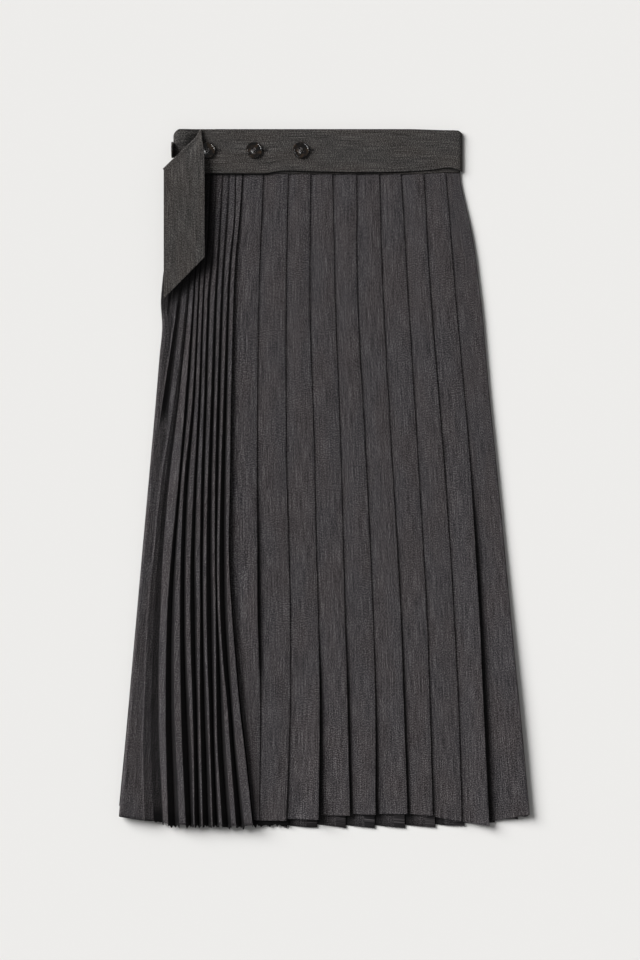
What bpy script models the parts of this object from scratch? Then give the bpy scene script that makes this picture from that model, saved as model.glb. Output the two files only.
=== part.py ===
"""A pleated midi skirt laid flat, front up.

Wide knife pleats cover most of the front, and a fan of narrow accordion ribs fills its
other side. The back is knife pleated too. A two-part waistband closes the top, a wrap
belt lies along its front and folds over into a hanging tail, and four buttons sit on
the belt and on the band's end.

+X is the wearer's left, +Y runs from the hem to the waist, +Z is up off the surface.
The origin is under the middle of the skirt. Every size below is in millimetres.
A "drop" is a distance down from the waist's top edge.
"""

import math
from collections import namedtuple

import bpy
from mathutils import Vector

MM = 0.001

# Cloth
CLOTH = 1.0  # wall of one layer of skirt cloth
BAND_CLOTH = 1.6  # wall of the doubled, pressed band and belt
GAP = 0.3  # air between layers, and between pieces at a seam
LAYER = CLOTH + GAP
BAND_LAYER = BAND_CLOTH + GAP

# Length
WAIST_Y = 400.9  # top edge of the band, above the origin
HEM_DROP = 802.0  # lowest point of the back hem
SEAM_DROP_LEFT = 51.2  # band's lower edge over the ribs
SEAM_DROP_RIGHT = 53.5  # band's lower edge over the wide pleats
NOMINAL_HEM = 790.0  # drop at which the last section is measured

# Heights
BACK_LOW = CLOTH / 2  # middle of the back's outermost layer
FRONT_BASE = 3 * CLOTH + 2 * GAP + GAP + CLOTH / 2  # middle of the front's lowest layer
PLEAT_TOP = 2 * LAYER  # how far a pleat's top layer stands over its lowest
SHOULDER = 8.0  # middle of the front cloth along the rolled left side
SEAM_Z_LEFT = 4.5  # where front and back meet along the left side
SEAM_Z_RIGHT = 2.4  # where they meet along the right side

# Knife pleats
UNDERLAP = 12.0  # cloth hidden behind each fold
UNDERLAP_SHARE = 0.45  # most of a pleat's own width that the underlap may take
RAMP_CLEAR = 1.5  # flat cloth at the foot and the head of a pleat's slope
TURN_STEPS = 3  # segments in a half turn of cloth
BACK_PLEATS = 14
BACK_FIRST_PLEAT = 0.73  # first back pleat, as a share of the others
BACK_HEM_RISE = 14.0  # how much higher the back hem lies at the sides
HALF_WIDTH = 236.0  # half the hem's width

# Accordion ribs
CORNER = 1.2  # cloth rounded off on each side of a rib's edge
RIB_OVERHANG = 0.5  # how far the last rib leans over its own foot
SEAM_SETBACK = 1.1  # from that foot to the first edge of the wide pleats
CORNER_SHARE = 0.42  # most of a face's width that one rounded corner may take
ROLL_WIDTH = 6.0  # from the left side to where the rolled cloth lies level
RIBS_RUNNING_OFF = 2  # ribs that meet the left side above the hem
SIDE_MARGIN = 8.5  # the closest that a rib's edge comes to the left side
SIDE_PITCH = 3.2  # the closest that ribs come to each other there
FADE_SPAN = 8.0  # distance over which a rib that meets the side flattens out

Station = namedtuple("Station", "drop left right rise_from rib_height flank first_flank")
STATIONS = (
    # drop, left side, right side, where the ribs start to climb to the left side,
    # rib height, share of a rib's width taken by its far side, the same for the first rib
    # that reaches the hem
    Station(52, -173.0, 156.0, -140, 2.0, 0.06, 0.10),
    Station(130, -181.0, 170.5, -146, 2.6, 0.08, 0.12),
    Station(196, -188.0, 179.4, -152, 3.2, 0.10, 0.14),
    Station(311, -193.8, 189.9, -171, 4.2, 0.16, 0.18),
    Station(403, -202.0, 199.2, -184, 5.0, 0.22, 0.33),
    Station(484, -209.2, 207.0, -188, 6.0, 0.28, 0.47),
    Station(599, -219.3, 217.9, -192, 7.3, 0.36, 0.60),
    Station(702, -228.3, 228.0, -192, 8.2, 0.41, 0.62),
    Station(785, -236.0, 235.4, -188, 8.8, 0.43, 0.74),
)

Rib = namedtuple("Rib", "height d52 d196 d311 d403 d484 d599 d702 d785")
RIB_DROPS = (52, 196, 311, 403, 484, 599, 702, 785)
RIBS = (
    # share of the rib height, then the x of the rib's edge at each drop
    Rib(0.5, -166.5, -178.0, -188.0, -200.0, -208.0, -218.0, -227.0, -235.0),
    Rib(0.6, -159.9, -169.4, -186.9, -199.0, -207.0, -217.0, -226.0, -234.0),
    Rib(0.7, -153.0, -160.0, -173.1, -189.0, -198.4, -205.7, -209.3, -207.6),
    Rib(1.0, -146.1, -152.4, -160.4, -168.5, -177.7, -182.7, -182.9, -181.1),
    Rib(1.0, -139.7, -146.6, -151.7, -159.3, -164.1, -165.5, -163.3, -161.0),
    Rib(0.9, -133.4, -141.1, -144.8, -149.5, -153.5, -153.5, -150.7, -148.9),
    Rib(0.9, -126.5, -134.0, -138.8, -140.9, -143.2, -143.2, -141.8, -140.3),
    Rib(1.0, -119.4, -127.1, -130.5, -132.8, -134.2, -134.4, -131.1, -128.2),
    Rib(0.9, -111.6, -120.2, -122.5, -125.2, -126.5, -124.8, -120.8, -118.1),
    Rib(1.0, -104.1, -112.1, -115.3, -116.7, -117.9, -117.3, -108.1, -102.4),
    Rib(1.0, -95.5, -105.0, -107.3, -108.0, -107.5, -100.1, -90.9, -85.7),
)

Fold = namedtuple("Fold", "d52 d196 d369 d564 d785 hem_start hem_end")
FOLD_DROPS = (52, 196, 369, 564, 785)
FOLDS = (
    # x of each wide pleat's fold at each drop, then the hem's drop at the two ends of
    # the face that the fold closes
    Fold(-68.4, -75.9, -77.6, -74.8, -75.6, 793.5, 794.0),
    Fold(-42.0, -44.6, -44.3, -39.7, -42.3, 794.4, 794.8),
    Fold(-15.5, -17.0, -12.1, -6.9, -5.2, 792.6, 793.2),
    Fold(9.8, 12.4, 19.0, 24.7, 29.6, 788.3, 788.6),
    Fold(37.4, 38.2, 47.7, 55.8, 59.2, 786.6, 787.8),
    Fold(62.7, 67.6, 76.5, 88.0, 96.0, 786.6, 787.0),
    Fold(88.0, 96.0, 106.4, 117.9, 125.4, 786.6, 788.9),
    Fold(114.4, 121.9, 137.4, 149.5, 157.8, 790.0, 795.4),
    Fold(137.8, 151.6, 166.2, 180.5, 190.3, 795.7, 800.4),
)
LAST_FACE_HEM = (795.8, 787.8)

Edge = namedtuple("Edge", "x drop")
RIB_HEM = (
    Edge(-237.0, 789.5),
    Edge(-207.0, 794.0),
    Edge(-188.0, 795.0),
    Edge(-177.0, 798.4),
    Edge(-130.0, 799.2),
    Edge(-100.0, 800.4),
    Edge(-84.0, 799.0),
)
BELT_EDGE = (
    Edge(-190.0, 46.6),
    Edge(-150.0, 50.2),
    Edge(-129.0, 50.6),
    Edge(-68.0, 50.6),
    Edge(-48.0, 47.8),
    Edge(0.0, 49.0),
    Edge(75.0, 49.3),
    Edge(120.0, 47.0),
    Edge(145.5, 44.4),
    Edge(160.0, 49.6),
)

# Band and belt
BAND_LEFT = -172.9
BAND_RIGHT = 156.6
BELT_RIGHT = 159.2
BAND_CORNER = 7.0  # radius of the band's upper left corner
BAND_FRONT_Z = FRONT_BASE - CLOTH / 2 + BAND_CLOTH / 2
BELT_Z = BAND_FRONT_Z + BAND_LAYER
BAND_LIFT = 3.6  # how far the band climbs at its left end
BAND_LIFT_FROM = -145.0
BAND_LIFT_SPAN = 20.0
BELT_LIFT = 4.8  # the same for the belt that lies over it
BELT_LIFT_FROM = -142.5
BELT_LIFT_SPAN = 22.0
LIFT_FADE = 90.0  # length below the seam over which that climb settles

# Tail: the two ends of each section, right edge and left edge
TAIL_FOLD_RIGHT = (-139.3, 2.2)  # x and drop
TAIL_FOLD_LEFT = (-184.3, 48.0)
TAIL_RIGHT_X = -137.4
TAIL_LEFT_END_X = -183.4
TAIL_RIGHT_LENGTH = 146.0
TAIL_LEFT_LENGTH = 142.6
TAIL_SETTLE = 0.09  # share of the tail over which it rises from the fold
FOLD_RISE = 0.9  # how far the folded edge stands off the cloth under it
FOLD_STEPS = 4  # segments round the folded edge
FOLD_HEIGHT = 2.4  # from the belt up to the tail at the fold, middle to middle
TAIL_ACROSS = 4  # spans across the belt's width

TailHeight = namedtuple("TailHeight", "share right left")
TAIL_HEIGHTS = (
    # share of the tail's length, then the height of its two edges
    TailHeight(0.00, 10.0, 14.7),
    TailHeight(0.06, 12.6, 14.6),
    TailHeight(0.20, 14.0, 14.2),
    TailHeight(0.50, 13.8, 13.4),
    TailHeight(0.75, 13.2, 12.6),
    TailHeight(1.00, 12.4, 12.0),
)

# Buttons
BUTTON_DIAMETER = 19.0
BUTTON_THICKNESS = 2.8
BUTTON_RIM = 2.2  # width of the raised rim
BUTTON_DISH = 0.8  # depth of the face inside the rim
BUTTON_HOLE = 1.7
BUTTON_HOLE_SPACING = 3.6
BUTTON_SIDES = 24
BUTTON_DROP = 24.2
BUTTON_SEAT = 0.6  # from the belt to the underside of a button on it
BUTTON_PITCH = 53.8
FIRST_BUTTON_X = -134.6

COLLECTION = "pleated_midi_skirt"


def smooth(t):
    """0 below 0, 1 above 1, and an S curve between."""
    t = min(max(t, 0.0), 1.0)
    return t * t * (3 - 2 * t)


def between(a, b, t):
    return a + (b - a) * t


def curve_through(places, values, place):
    """The value at a place on a smooth curve through the values, straight beyond its ends."""
    last = len(places) - 1
    slopes = []
    for i in range(last + 1):
        before, after = max(i - 1, 0), min(i + 1, last)
        slopes.append((values[after] - values[before]) / (places[after] - places[before]))
    if place <= places[0]:
        return values[0] + slopes[0] * (place - places[0])
    if place >= places[last]:
        return values[last] + slopes[last] * (place - places[last])
    i = max(k for k in range(last) if places[k] <= place)
    span = places[i + 1] - places[i]
    t = (place - places[i]) / span
    ease = t * t * (3 - 2 * t)
    leave = t * (1 - t) ** 2 * span * slopes[i]
    arrive = t * t * (1 - t) * span * slopes[i + 1]
    return between(values[i], values[i + 1], ease) + leave - arrive


def station(name, drop):
    """One column of the station table, read at a drop."""
    drops = [row.drop for row in STATIONS]
    return curve_through(drops, [getattr(row, name) for row in STATIONS], drop)


def edge_drop(edges, x):
    return curve_through([row.x for row in edges], [row.drop for row in edges], x)


def seam_drop(x):
    """Where the pleats are sewn to the band."""
    return between(SEAM_DROP_LEFT, SEAM_DROP_RIGHT, smooth((x + 40) / 80))


def back_hem(x):
    return HEM_DROP - BACK_HEM_RISE * (x / HALF_WIDTH) ** 4


def place(x, drop, z):
    return Vector((x * MM, (WAIST_Y - drop) * MM, z * MM))


def half_turn(x, z, side):
    """Half a turn of cloth about (x, z), from above to below, or from below to above the
    next layer down, bulging to the right (side 1) or the left (side -1)."""
    points = []
    for step in range(TURN_STEPS + 1):
        angle = math.pi * (0.5 - step / TURN_STEPS)
        points.append((x + side * LAYER / 2 * math.cos(angle), z + LAYER / 2 * math.sin(angle)))
    return points


def knife_pleats(start, folds, hems, first_height):
    """The middle line of a run of knife pleats, as (x, height over the lowest layer, hem
    drop). It ends at the foot of the face after the last fold."""
    path = []
    left = start
    for number, (fold, hem) in enumerate(zip(folds, hems)):
        under = min(UNDERLAP, UNDERLAP_SHARE * (fold - left))
        foot = left + RAMP_CLEAR
        head = fold - under - RAMP_CLEAR
        low = first_height if number == 0 else 0.0
        path.append((foot, low, hem[0]))
        path.append(((foot + head) / 2, (low + PLEAT_TOP) / 2, sum(hem) / 2))
        path.append((head, PLEAT_TOP, hem[1]))
        next_hem = hems[number + 1][0]
        for x, z in half_turn(fold - LAYER / 2, 1.5 * LAYER, 1):
            path.append((x, z, hem[1]))
        for x, z in half_turn(fold - under + LAYER / 2, 0.5 * LAYER, -1):
            path.append((x, z, next_hem))
        left = fold
    path.append((left + RAMP_CLEAR, 0.0, hems[len(folds)][0]))
    return path


def sections(shares, path_at):
    """The grid of a pleated panel: one row for each share of the way from seam to hem."""
    rows = []
    for share in shares:
        drop = between(SEAM_DROP_RIGHT, NOMINAL_HEM, share)
        row = []
        for x, z, hem in path_at(drop):
            top = seam_drop(x) + GAP
            row.append(place(x, between(top, hem, share), z))
        rows.append(row)
    return rows


def front_lift(x, drop):
    """How far the cloth below the band climbs with the band's left end."""
    fade = 1 - smooth((drop - SEAM_DROP_RIGHT) / LIFT_FADE)
    return band_lift(x) * fade


def band_lift(x):
    return BAND_LIFT * smooth((BAND_LIFT_FROM - x) / BAND_LIFT_SPAN)


def rib_edges(drop):
    """The x of every rib's edge at a drop, kept in order where ribs run off at the side."""
    side = station("left", drop)
    edges = []
    for number, rib in enumerate(RIBS):
        x = curve_through(RIB_DROPS, rib[1:], drop)
        nearest = side + SIDE_MARGIN + SIDE_PITCH * number
        fade = 1.0
        if number < RIBS_RUNNING_OFF:
            fade = smooth((x - nearest) / FADE_SPAN)
        edges.append((max(x, nearest), fade))
    return edges


def rounded(corners):
    """A path of (x, z) corners with each inner corner cut back and rounded off."""
    path = [corners[0]]
    for before, corner, after in zip(corners, corners[1:], corners[2:]):
        into = Vector(corner) - Vector(before)
        out = Vector(after) - Vector(corner)
        start = Vector(corner) - into.normalized() * min(CORNER, CORNER_SHARE * into.length)
        end = Vector(corner) + out.normalized() * min(CORNER, CORNER_SHARE * out.length)
        middle = (start + 2 * Vector(corner) + end) / 4
        path += [tuple(start), tuple(middle), tuple(end)]
    path.append(corners[-1])
    return path


def rib_path(drop):
    """The middle line of the accordion ribs, from the rolled left side to the last rib's foot."""
    side = station("left", drop)
    rise_from = station("rise_from", drop)
    height = station("rib_height", drop)
    edges = rib_edges(drop)

    def ground(x):
        span = rise_from - side - ROLL_WIDTH
        climb = (SHOULDER - FRONT_BASE) * smooth((rise_from - x) / span)
        return FRONT_BASE + max(climb, front_lift(x, drop))

    corners = []
    for number, (rib, (x, fade)) in enumerate(zip(RIBS, edges)):
        corners.append((x, ground(x) + rib.height * height * fade))
        if number == len(RIBS) - 1:
            corners.append((x - RIB_OVERHANG, FRONT_BASE))
            continue
        column = "first_flank" if number == RIBS_RUNNING_OFF else "flank"
        foot = between(x, edges[number + 1][0], station(column, drop))
        corners.append((foot, ground(foot)))
    shoulder = ground(side + ROLL_WIDTH)
    roll = [
        (side + CLOTH / 2, SEAM_Z_LEFT + GAP / 2),
        (side + CLOTH / 2, shoulder - 2.0),
        (side + 2.2, shoulder - 0.5),
        (side + 5.0, shoulder),
    ]
    return [(x, z, edge_drop(RIB_HEM, x)) for x, z in roll + rounded([roll[-1]] + corners)[1:]]


def front_path(drop):
    """The middle line of the wide pleats, from behind the last rib to the right side."""
    start = rib_edges(drop)[-1][0] - RIB_OVERHANG + SEAM_SETBACK - RAMP_CLEAR
    folds = [curve_through(FOLD_DROPS, fold[:5], drop) for fold in FOLDS]
    hems = [(fold.hem_start, fold.hem_end) for fold in FOLDS] + [LAST_FACE_HEM]
    path = knife_pleats(start, folds, hems, 0.0)
    side = station("right", drop)
    crown = 1.3 * LAYER
    hem = LAST_FACE_HEM
    last_fold = folds[-1]
    path.append((between(last_fold, side, 0.55), crown, between(*hem, 0.55)))
    path.append((side - 4.0, crown, between(*hem, 0.9)))
    path.append((side - 1.5, 0.7 * crown, hem[1]))
    path.append((side - CLOTH / 2, 0.0, hem[1]))
    path.append((side - CLOTH / 2, SEAM_Z_RIGHT + GAP / 2 - FRONT_BASE, hem[1]))
    return [(x, FRONT_BASE + z, hem) for x, z, hem in path]


def back_path(drop):
    """The middle line of the back, from the right side to the left as seen from above: the
    pleats as their wearer's back shows them, turned over."""
    left, right = station("left", drop), station("right", drop)
    pitch = (right - left) / (BACK_PLEATS - 1 + BACK_FIRST_PLEAT)
    folds = [-right + pitch * (BACK_FIRST_PLEAT + number) for number in range(BACK_PLEATS - 1)]
    hems = [(0.0, 0.0)] * BACK_PLEATS
    turned = knife_pleats(-right + 4.0 - RAMP_CLEAR, folds, hems, PLEAT_TOP)
    path = [
        (right - CLOTH / 2, SEAM_Z_RIGHT - GAP / 2),
        (right - CLOTH / 2, BACK_LOW + 1.0),
        (right - 1.5, BACK_LOW + 0.3),
    ]
    path += [(-x, BACK_LOW + PLEAT_TOP - z) for x, z, _ in turned]
    path += [
        (between(-folds[-1], left, 0.45), BACK_LOW),
        (left + 4.0, BACK_LOW),
        (left + 1.5, BACK_LOW + 0.6),
        (left + CLOTH / 2, BACK_LOW + 1.8),
        (left + CLOTH / 2, SEAM_Z_LEFT - GAP / 2),
    ]
    return [(x, z, back_hem(x)) for x, z in path]


def front_band_columns():
    """(x, z, drop of the upper edge) along the front band, left to right."""
    left, right = BAND_LEFT, BAND_RIGHT
    half = BAND_CLOTH / 2
    raised = BAND_FRONT_Z + BAND_LIFT
    columns = [
        (left + half, SEAM_Z_LEFT + GAP / 2, BAND_CORNER),
        (left + half, raised - 2.0, 0.8 * BAND_CORNER),
        (left + 2.4, raised - 0.5, 0.35 * BAND_CORNER),
        (left + 5.5, raised, 0.05 * BAND_CORNER),
    ]
    steps = 6
    for step in range(steps + 1):
        x = BAND_LIFT_FROM - BAND_LIFT_SPAN * (1 - step / steps)
        columns.append((x, BAND_FRONT_Z + band_lift(x), 0.0))
    for x in (-90.0, -40.0, 0.0, 40.0, 100.0, right - 5.0):
        columns.append((x, BAND_FRONT_Z, 0.0))
    columns.append((right - 2.2, BAND_FRONT_Z - 0.4, 0.0))
    columns.append((right - half, BAND_FRONT_Z - 1.4, 0.0))
    columns.append((right - half, SEAM_Z_RIGHT + GAP / 2, 0.0))
    return columns


def back_band_columns():
    """(x, z, drop of the upper edge) along the back band, right to left."""
    left, right = BAND_LEFT, BAND_RIGHT
    half = BAND_CLOTH / 2
    columns = [
        (right - half, SEAM_Z_RIGHT - GAP / 2, 0.0),
        (right - half, half + 0.7, 0.0),
        (right - 2.2, half + 0.2, 0.0),
    ]
    for x in (right - 5.0, 100.0, 40.0, 0.0, -40.0, -90.0, -140.0):
        columns.append((x, half, 0.0))
    columns += [
        (left + 9.0, half, 0.0),
        (left + 5.5, half, 0.05 * BAND_CORNER),
        (left + 2.4, half + 0.6, 0.35 * BAND_CORNER),
        (left + half, half + 2.0, 0.8 * BAND_CORNER),
        (left + half, SEAM_Z_LEFT - GAP / 2, BAND_CORNER),
    ]
    return columns


def band_rows(columns):
    """The grid of a band: its upper edge, its middle and its sewn edge."""
    rows = []
    for share in (0.0, 0.5, 1.0):
        row = []
        for x, z, top in columns:
            row.append(place(x, between(top, seam_drop(x) - GAP / 2, share), z))
        rows.append(row)
    return rows


def belt_height(x):
    return BELT_Z + BELT_LIFT * smooth((BELT_LIFT_FROM - x) / BELT_LIFT_SPAN)


def belt_section(upper, lower, height):
    """Points across the belt from its upper edge to its lower, each (x, drop)."""
    row = []
    for step in range(TAIL_ACROSS + 1):
        share = step / TAIL_ACROSS
        x = between(upper[0], lower[0], share)
        drop = between(upper[1], lower[1], share)
        row.append(place(x, drop, height(x, share)))
    return row


def belt_rows():
    """The belt's grid, from the right side to the fold, round the fold and down the tail."""
    half = BAND_CLOTH / 2
    rows = []
    for x, z in (
        (BELT_RIGHT - half, SEAM_Z_RIGHT + GAP / 2),
        (BELT_RIGHT - half, BELT_Z - 2.0),
        (BELT_RIGHT - 2.2, BELT_Z - 0.5),
    ):
        rows.append(belt_section((x, 0.0), (x, edge_drop(BELT_EDGE, x)), lambda *_: z))
    for x in (153.0, 145.5, 132.0, 115.0, 75.0, 35.0, 0.0, -30.0, -48.0, -68.0, -100.0, -125.0):
        lower = (x, edge_drop(BELT_EDGE, x))
        rows.append(belt_section((x, 0.0), lower, lambda x, _: belt_height(x)))
    straight = rows[-1]
    upper_x, lower_x = straight[0].x / MM, straight[-1].x / MM
    for share in (0.25, 0.5, 0.75):
        upper = (between(upper_x, TAIL_FOLD_RIGHT[0], share), between(0.0, TAIL_FOLD_RIGHT[1], share))
        x = between(lower_x, TAIL_FOLD_LEFT[0], share)
        lower = (x, between(edge_drop(BELT_EDGE, lower_x), TAIL_FOLD_LEFT[1], share))
        ease = FOLD_RISE * smooth(2 * share - 1)
        rows.append(belt_section(upper, lower, lambda x, _: belt_height(x) + ease))
    rows += fold_rows()
    rows += tail_rows()
    return rows


def fold_rows():
    """The half turn of the belt about its diagonal fold."""
    along = Vector(TAIL_FOLD_LEFT) - Vector(TAIL_FOLD_RIGHT)
    outward = Vector((-along.y, along.x)).normalized()  # in x and drop, up and to the left
    radius = FOLD_HEIGHT / 2
    rows = []
    for step in range(FOLD_STEPS + 1):
        angle = math.pi * (step / FOLD_STEPS - 0.5)
        out = radius * math.cos(angle)
        shift = (outward.x * out, outward.y * out)
        rise = radius * (1 + math.sin(angle))
        upper = (TAIL_FOLD_RIGHT[0] + shift[0], TAIL_FOLD_RIGHT[1] + shift[1])
        lower = (TAIL_FOLD_LEFT[0] + shift[0], TAIL_FOLD_LEFT[1] + shift[1])
        rise += FOLD_RISE
        rows.append(belt_section(upper, lower, lambda x, _: belt_height(x - shift[0]) + rise))
    return rows


def tail_rows():
    """The tail below the fold: slanting sections down to its slanting end."""
    shares = [row.share for row in TAIL_HEIGHTS]
    rows = []
    for share in (0.03, 0.06, 0.12, 0.2, 0.35, 0.5, 0.75, 1.0):
        right_x = between(TAIL_FOLD_RIGHT[0], TAIL_RIGHT_X, smooth(share / 0.25))
        left_x = between(TAIL_FOLD_LEFT[0], TAIL_LEFT_END_X, share**3)
        upper = (right_x, TAIL_FOLD_RIGHT[1] + TAIL_RIGHT_LENGTH * share)
        lower = (left_x, TAIL_FOLD_LEFT[1] + TAIL_LEFT_LENGTH * share)
        right_z = curve_through(shares, [row.right for row in TAIL_HEIGHTS], share)
        left_z = curve_through(shares, [row.left for row in TAIL_HEIGHTS], share)
        settle = smooth(share / TAIL_SETTLE)

        def height(x, across):
            folded = belt_height(x) + FOLD_RISE + FOLD_HEIGHT
            return between(folded, between(right_z, left_z, across), settle)

        rows.append(belt_section(upper, lower, height))
    return rows


def material(name, colour, roughness, metallic=0.0):
    made = bpy.data.materials.new(name)
    made.use_nodes = True
    shader = made.node_tree.nodes["Principled BSDF"]
    shader.inputs["Base Color"].default_value = (*colour, 1.0)
    shader.inputs["Roughness"].default_value = roughness
    shader.inputs["Metallic"].default_value = metallic
    made.diffuse_color = (*colour, 1.0)
    return made


def cloth_piece(collection, name, rows, wall, finish):
    """A grid of points made into a sheet of cloth with a wall."""
    across = len(rows[0])
    points = [point for row in rows for point in row]
    faces = []
    for i in range(len(rows) - 1):
        for j in range(across - 1):
            corner = i * across + j
            faces.append((corner, corner + across, corner + across + 1, corner + 1))
    mesh = bpy.data.meshes.new(name)
    mesh.from_pydata(points, [], faces)
    piece = bpy.data.objects.new(name, mesh)
    collection.objects.link(piece)
    solid = piece.modifiers.new("cloth wall", "SOLIDIFY")
    solid.thickness = wall * MM
    solid.offset = 0.0
    solid.use_even_offset = True
    mesh.materials.append(finish)
    return piece


def button_mesh(finish):
    """A turned button with a raised rim and a shallow dish, standing on z = 0."""
    radius = BUTTON_DIAMETER / 2
    thick = BUTTON_THICKNESS
    profile = (
        (0.0, thick - BUTTON_DISH),
        (radius - BUTTON_RIM, thick - BUTTON_DISH + 0.1),
        (radius - 0.7 * BUTTON_RIM, thick),
        (radius - 0.2 * BUTTON_RIM, thick - 0.15),
        (radius, thick - 0.9),
        (radius - 0.4, 0.35 * thick),
        (radius - BUTTON_RIM, 0.0),
        (0.0, 0.0),
    )
    mesh = bpy.data.meshes.new("button_profile")
    points = [Vector((x * MM, 0.0, z * MM)) for x, z in profile]
    mesh.from_pydata(points, [(i, i + 1) for i in range(len(points) - 1)], [])
    turned = bpy.data.objects.new("button_turned", mesh)
    screw = turned.modifiers.new("turn", "SCREW")
    screw.steps = BUTTON_SIDES
    screw.render_steps = BUTTON_SIDES
    screw.use_merge_vertices = True
    screw.merge_threshold = 0.00001
    cutters = [hole_cutter(column, row) for column in (-1, 1) for row in (-1, 1)]
    bpy.context.scene.collection.objects.link(turned)
    for cutter in cutters:
        cut = turned.modifiers.new("hole", "BOOLEAN")
        cut.object = cutter
        cut.operation = "DIFFERENCE"
    graph = bpy.context.evaluated_depsgraph_get()
    made = bpy.data.meshes.new_from_object(turned.evaluated_get(graph))
    made.name = "button"
    made.materials.clear()
    made.materials.append(finish)
    made.shade_smooth()
    made.set_sharp_from_angle(angle=math.radians(35))
    for helper in [turned, *cutters]:
        bpy.data.objects.remove(helper)
    return made


def hole_cutter(column, row):
    bpy.ops.mesh.primitive_cylinder_add(
        vertices=8,
        radius=BUTTON_HOLE / 2 * MM,
        depth=4 * BUTTON_THICKNESS * MM,
        location=(
            column * BUTTON_HOLE_SPACING / 2 * MM,
            row * BUTTON_HOLE_SPACING / 2 * MM,
            BUTTON_THICKNESS / 2 * MM,
        ),
    )
    cutter = bpy.context.object
    cutter.display_type = "WIRE"
    cutter.hide_render = True
    return cutter


def add_buttons(collection, finish):
    """Three buttons lie along the belt. The fourth stands on edge at the band's left end."""
    mesh = button_mesh(finish)
    for number in range(3):
        x = FIRST_BUTTON_X + BUTTON_PITCH * number
        button = bpy.data.objects.new(f"button_{number + 1}", mesh)
        height = belt_height(x - BUTTON_DIAMETER / 2) + BAND_CLOTH / 2 + BUTTON_SEAT
        button.location = place(x, BUTTON_DROP, height)
        collection.objects.link(button)
    button = bpy.data.objects.new("button_4", mesh)
    button.location = place(BAND_LEFT - GAP, BUTTON_DROP, BUTTON_DIAMETER / 2 + GAP)
    button.rotation_euler = (0.0, math.radians(-90), 0.0)
    collection.objects.link(button)


def main():
    for old in list(bpy.data.objects):
        bpy.data.objects.remove(old)
    collection = bpy.data.collections.new(COLLECTION)
    bpy.context.scene.collection.children.link(collection)

    suiting = material("charcoal_wool_suiting", (0.052, 0.048, 0.049), 0.85)
    ribbed = material("charcoal_wool_ribs", (0.055, 0.051, 0.052), 0.85)
    banding = material("charcoal_wool_band", (0.048, 0.045, 0.044), 0.85)
    horn = material("dark_horn", (0.022, 0.017, 0.015), 0.25)

    fine = [0.0, 0.1, 0.2, 0.35, 0.5, 0.64, 0.82, 1.0]
    coarse = [0.0, 0.2, 0.5, 1.0]
    cloth_piece(collection, "accordion_panel", sections(fine, rib_path), CLOTH, ribbed)
    cloth_piece(collection, "front_panel", sections(fine, front_path), CLOTH, suiting)
    cloth_piece(collection, "back_panel", sections(coarse, back_path), CLOTH, suiting)
    front_band = band_rows(front_band_columns())
    back_band = band_rows(back_band_columns())
    cloth_piece(collection, "waistband_front", front_band, BAND_CLOTH, banding)
    cloth_piece(collection, "waistband_back", back_band, BAND_CLOTH, banding)
    cloth_piece(collection, "wrap_belt", belt_rows(), BAND_CLOTH, banding)
    add_buttons(collection, horn)


main()
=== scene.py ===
# A pleated wool midi skirt, laid flat with its front up.
# x runs to the wearer's left, y from the hem to the waist, z up off the surface.
# The cloth is worked out in millimetres; "drop" is the distance down from the waist.

import math

import bmesh
import bpy
import numpy as np
from mathutils import Matrix, Vector, noise


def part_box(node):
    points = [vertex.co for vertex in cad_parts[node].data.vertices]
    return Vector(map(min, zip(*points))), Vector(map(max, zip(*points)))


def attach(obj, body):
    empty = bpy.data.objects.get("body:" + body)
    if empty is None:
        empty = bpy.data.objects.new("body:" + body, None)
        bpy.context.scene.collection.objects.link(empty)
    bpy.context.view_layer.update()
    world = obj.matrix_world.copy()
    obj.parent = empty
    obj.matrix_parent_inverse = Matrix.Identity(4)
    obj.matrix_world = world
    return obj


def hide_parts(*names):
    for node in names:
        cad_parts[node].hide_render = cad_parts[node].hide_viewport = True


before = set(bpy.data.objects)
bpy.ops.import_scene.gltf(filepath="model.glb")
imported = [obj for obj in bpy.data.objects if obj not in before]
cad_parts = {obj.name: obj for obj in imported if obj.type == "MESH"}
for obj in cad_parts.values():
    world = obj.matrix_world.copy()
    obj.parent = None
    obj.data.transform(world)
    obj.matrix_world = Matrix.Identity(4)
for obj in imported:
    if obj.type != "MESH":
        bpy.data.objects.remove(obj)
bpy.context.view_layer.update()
mm = 0.001
print("frame loaded:", len(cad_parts), "solids")

studio = {
    "cameraHeight": 6.0,
    "frameHeight": 1.104,  # metres of surface from the top of the picture to its bottom
    "centre": (-0.0052, -0.0022),
    "keyStrength": 4.75,
    "keyElevation": 33,
    "keyAzimuth": 147,  # degrees from the wearer's left towards the waist
    "keySpread": 38,  # degrees across, which sets how soft the shadows are
    "glints": [  # azimuth, elevation, spread and strength of lamps seen only in polished horn
        (190, 36, 8, 0.35),
        (210, 34, 8, 0.6),
        (230, 34, 8, 0.6),
        (5, 44, 7, 0.2),
        (28, 44, 7, 0.2),
        (70, 83, 4, 0.05),
    ],
    "fillStrength": 0.19,
    "floorHex": "#ecebe9",
    "backdropHex": "#edebe9",
}


def toLinear(hexColour):
    # sRGB hex to the linear colour that shaders take
    parts = [int(hexColour[i : i + 2], 16) / 255 for i in (1, 3, 5)]
    linear = [c / 12.92 if c <= 0.04045 else ((c + 0.055) / 1.055) ** 2.4 for c in parts]
    return (*linear, 1.0)


def addNode(tree, kind, values=None, links=None, **settings):
    node = tree.nodes.new(kind)
    for name, value in settings.items():
        setattr(node, name, value)
    for name, value in (values or {}).items():
        node.inputs[name].default_value = value
    for name, source in (links or {}).items():
        tree.links.new(getattr(source, "socket", source), node.inputs[name])
    return node


def newObject(name, data):
    made = bpy.data.objects.new(name, data)
    bpy.context.scene.collection.objects.link(made)
    return made


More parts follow.
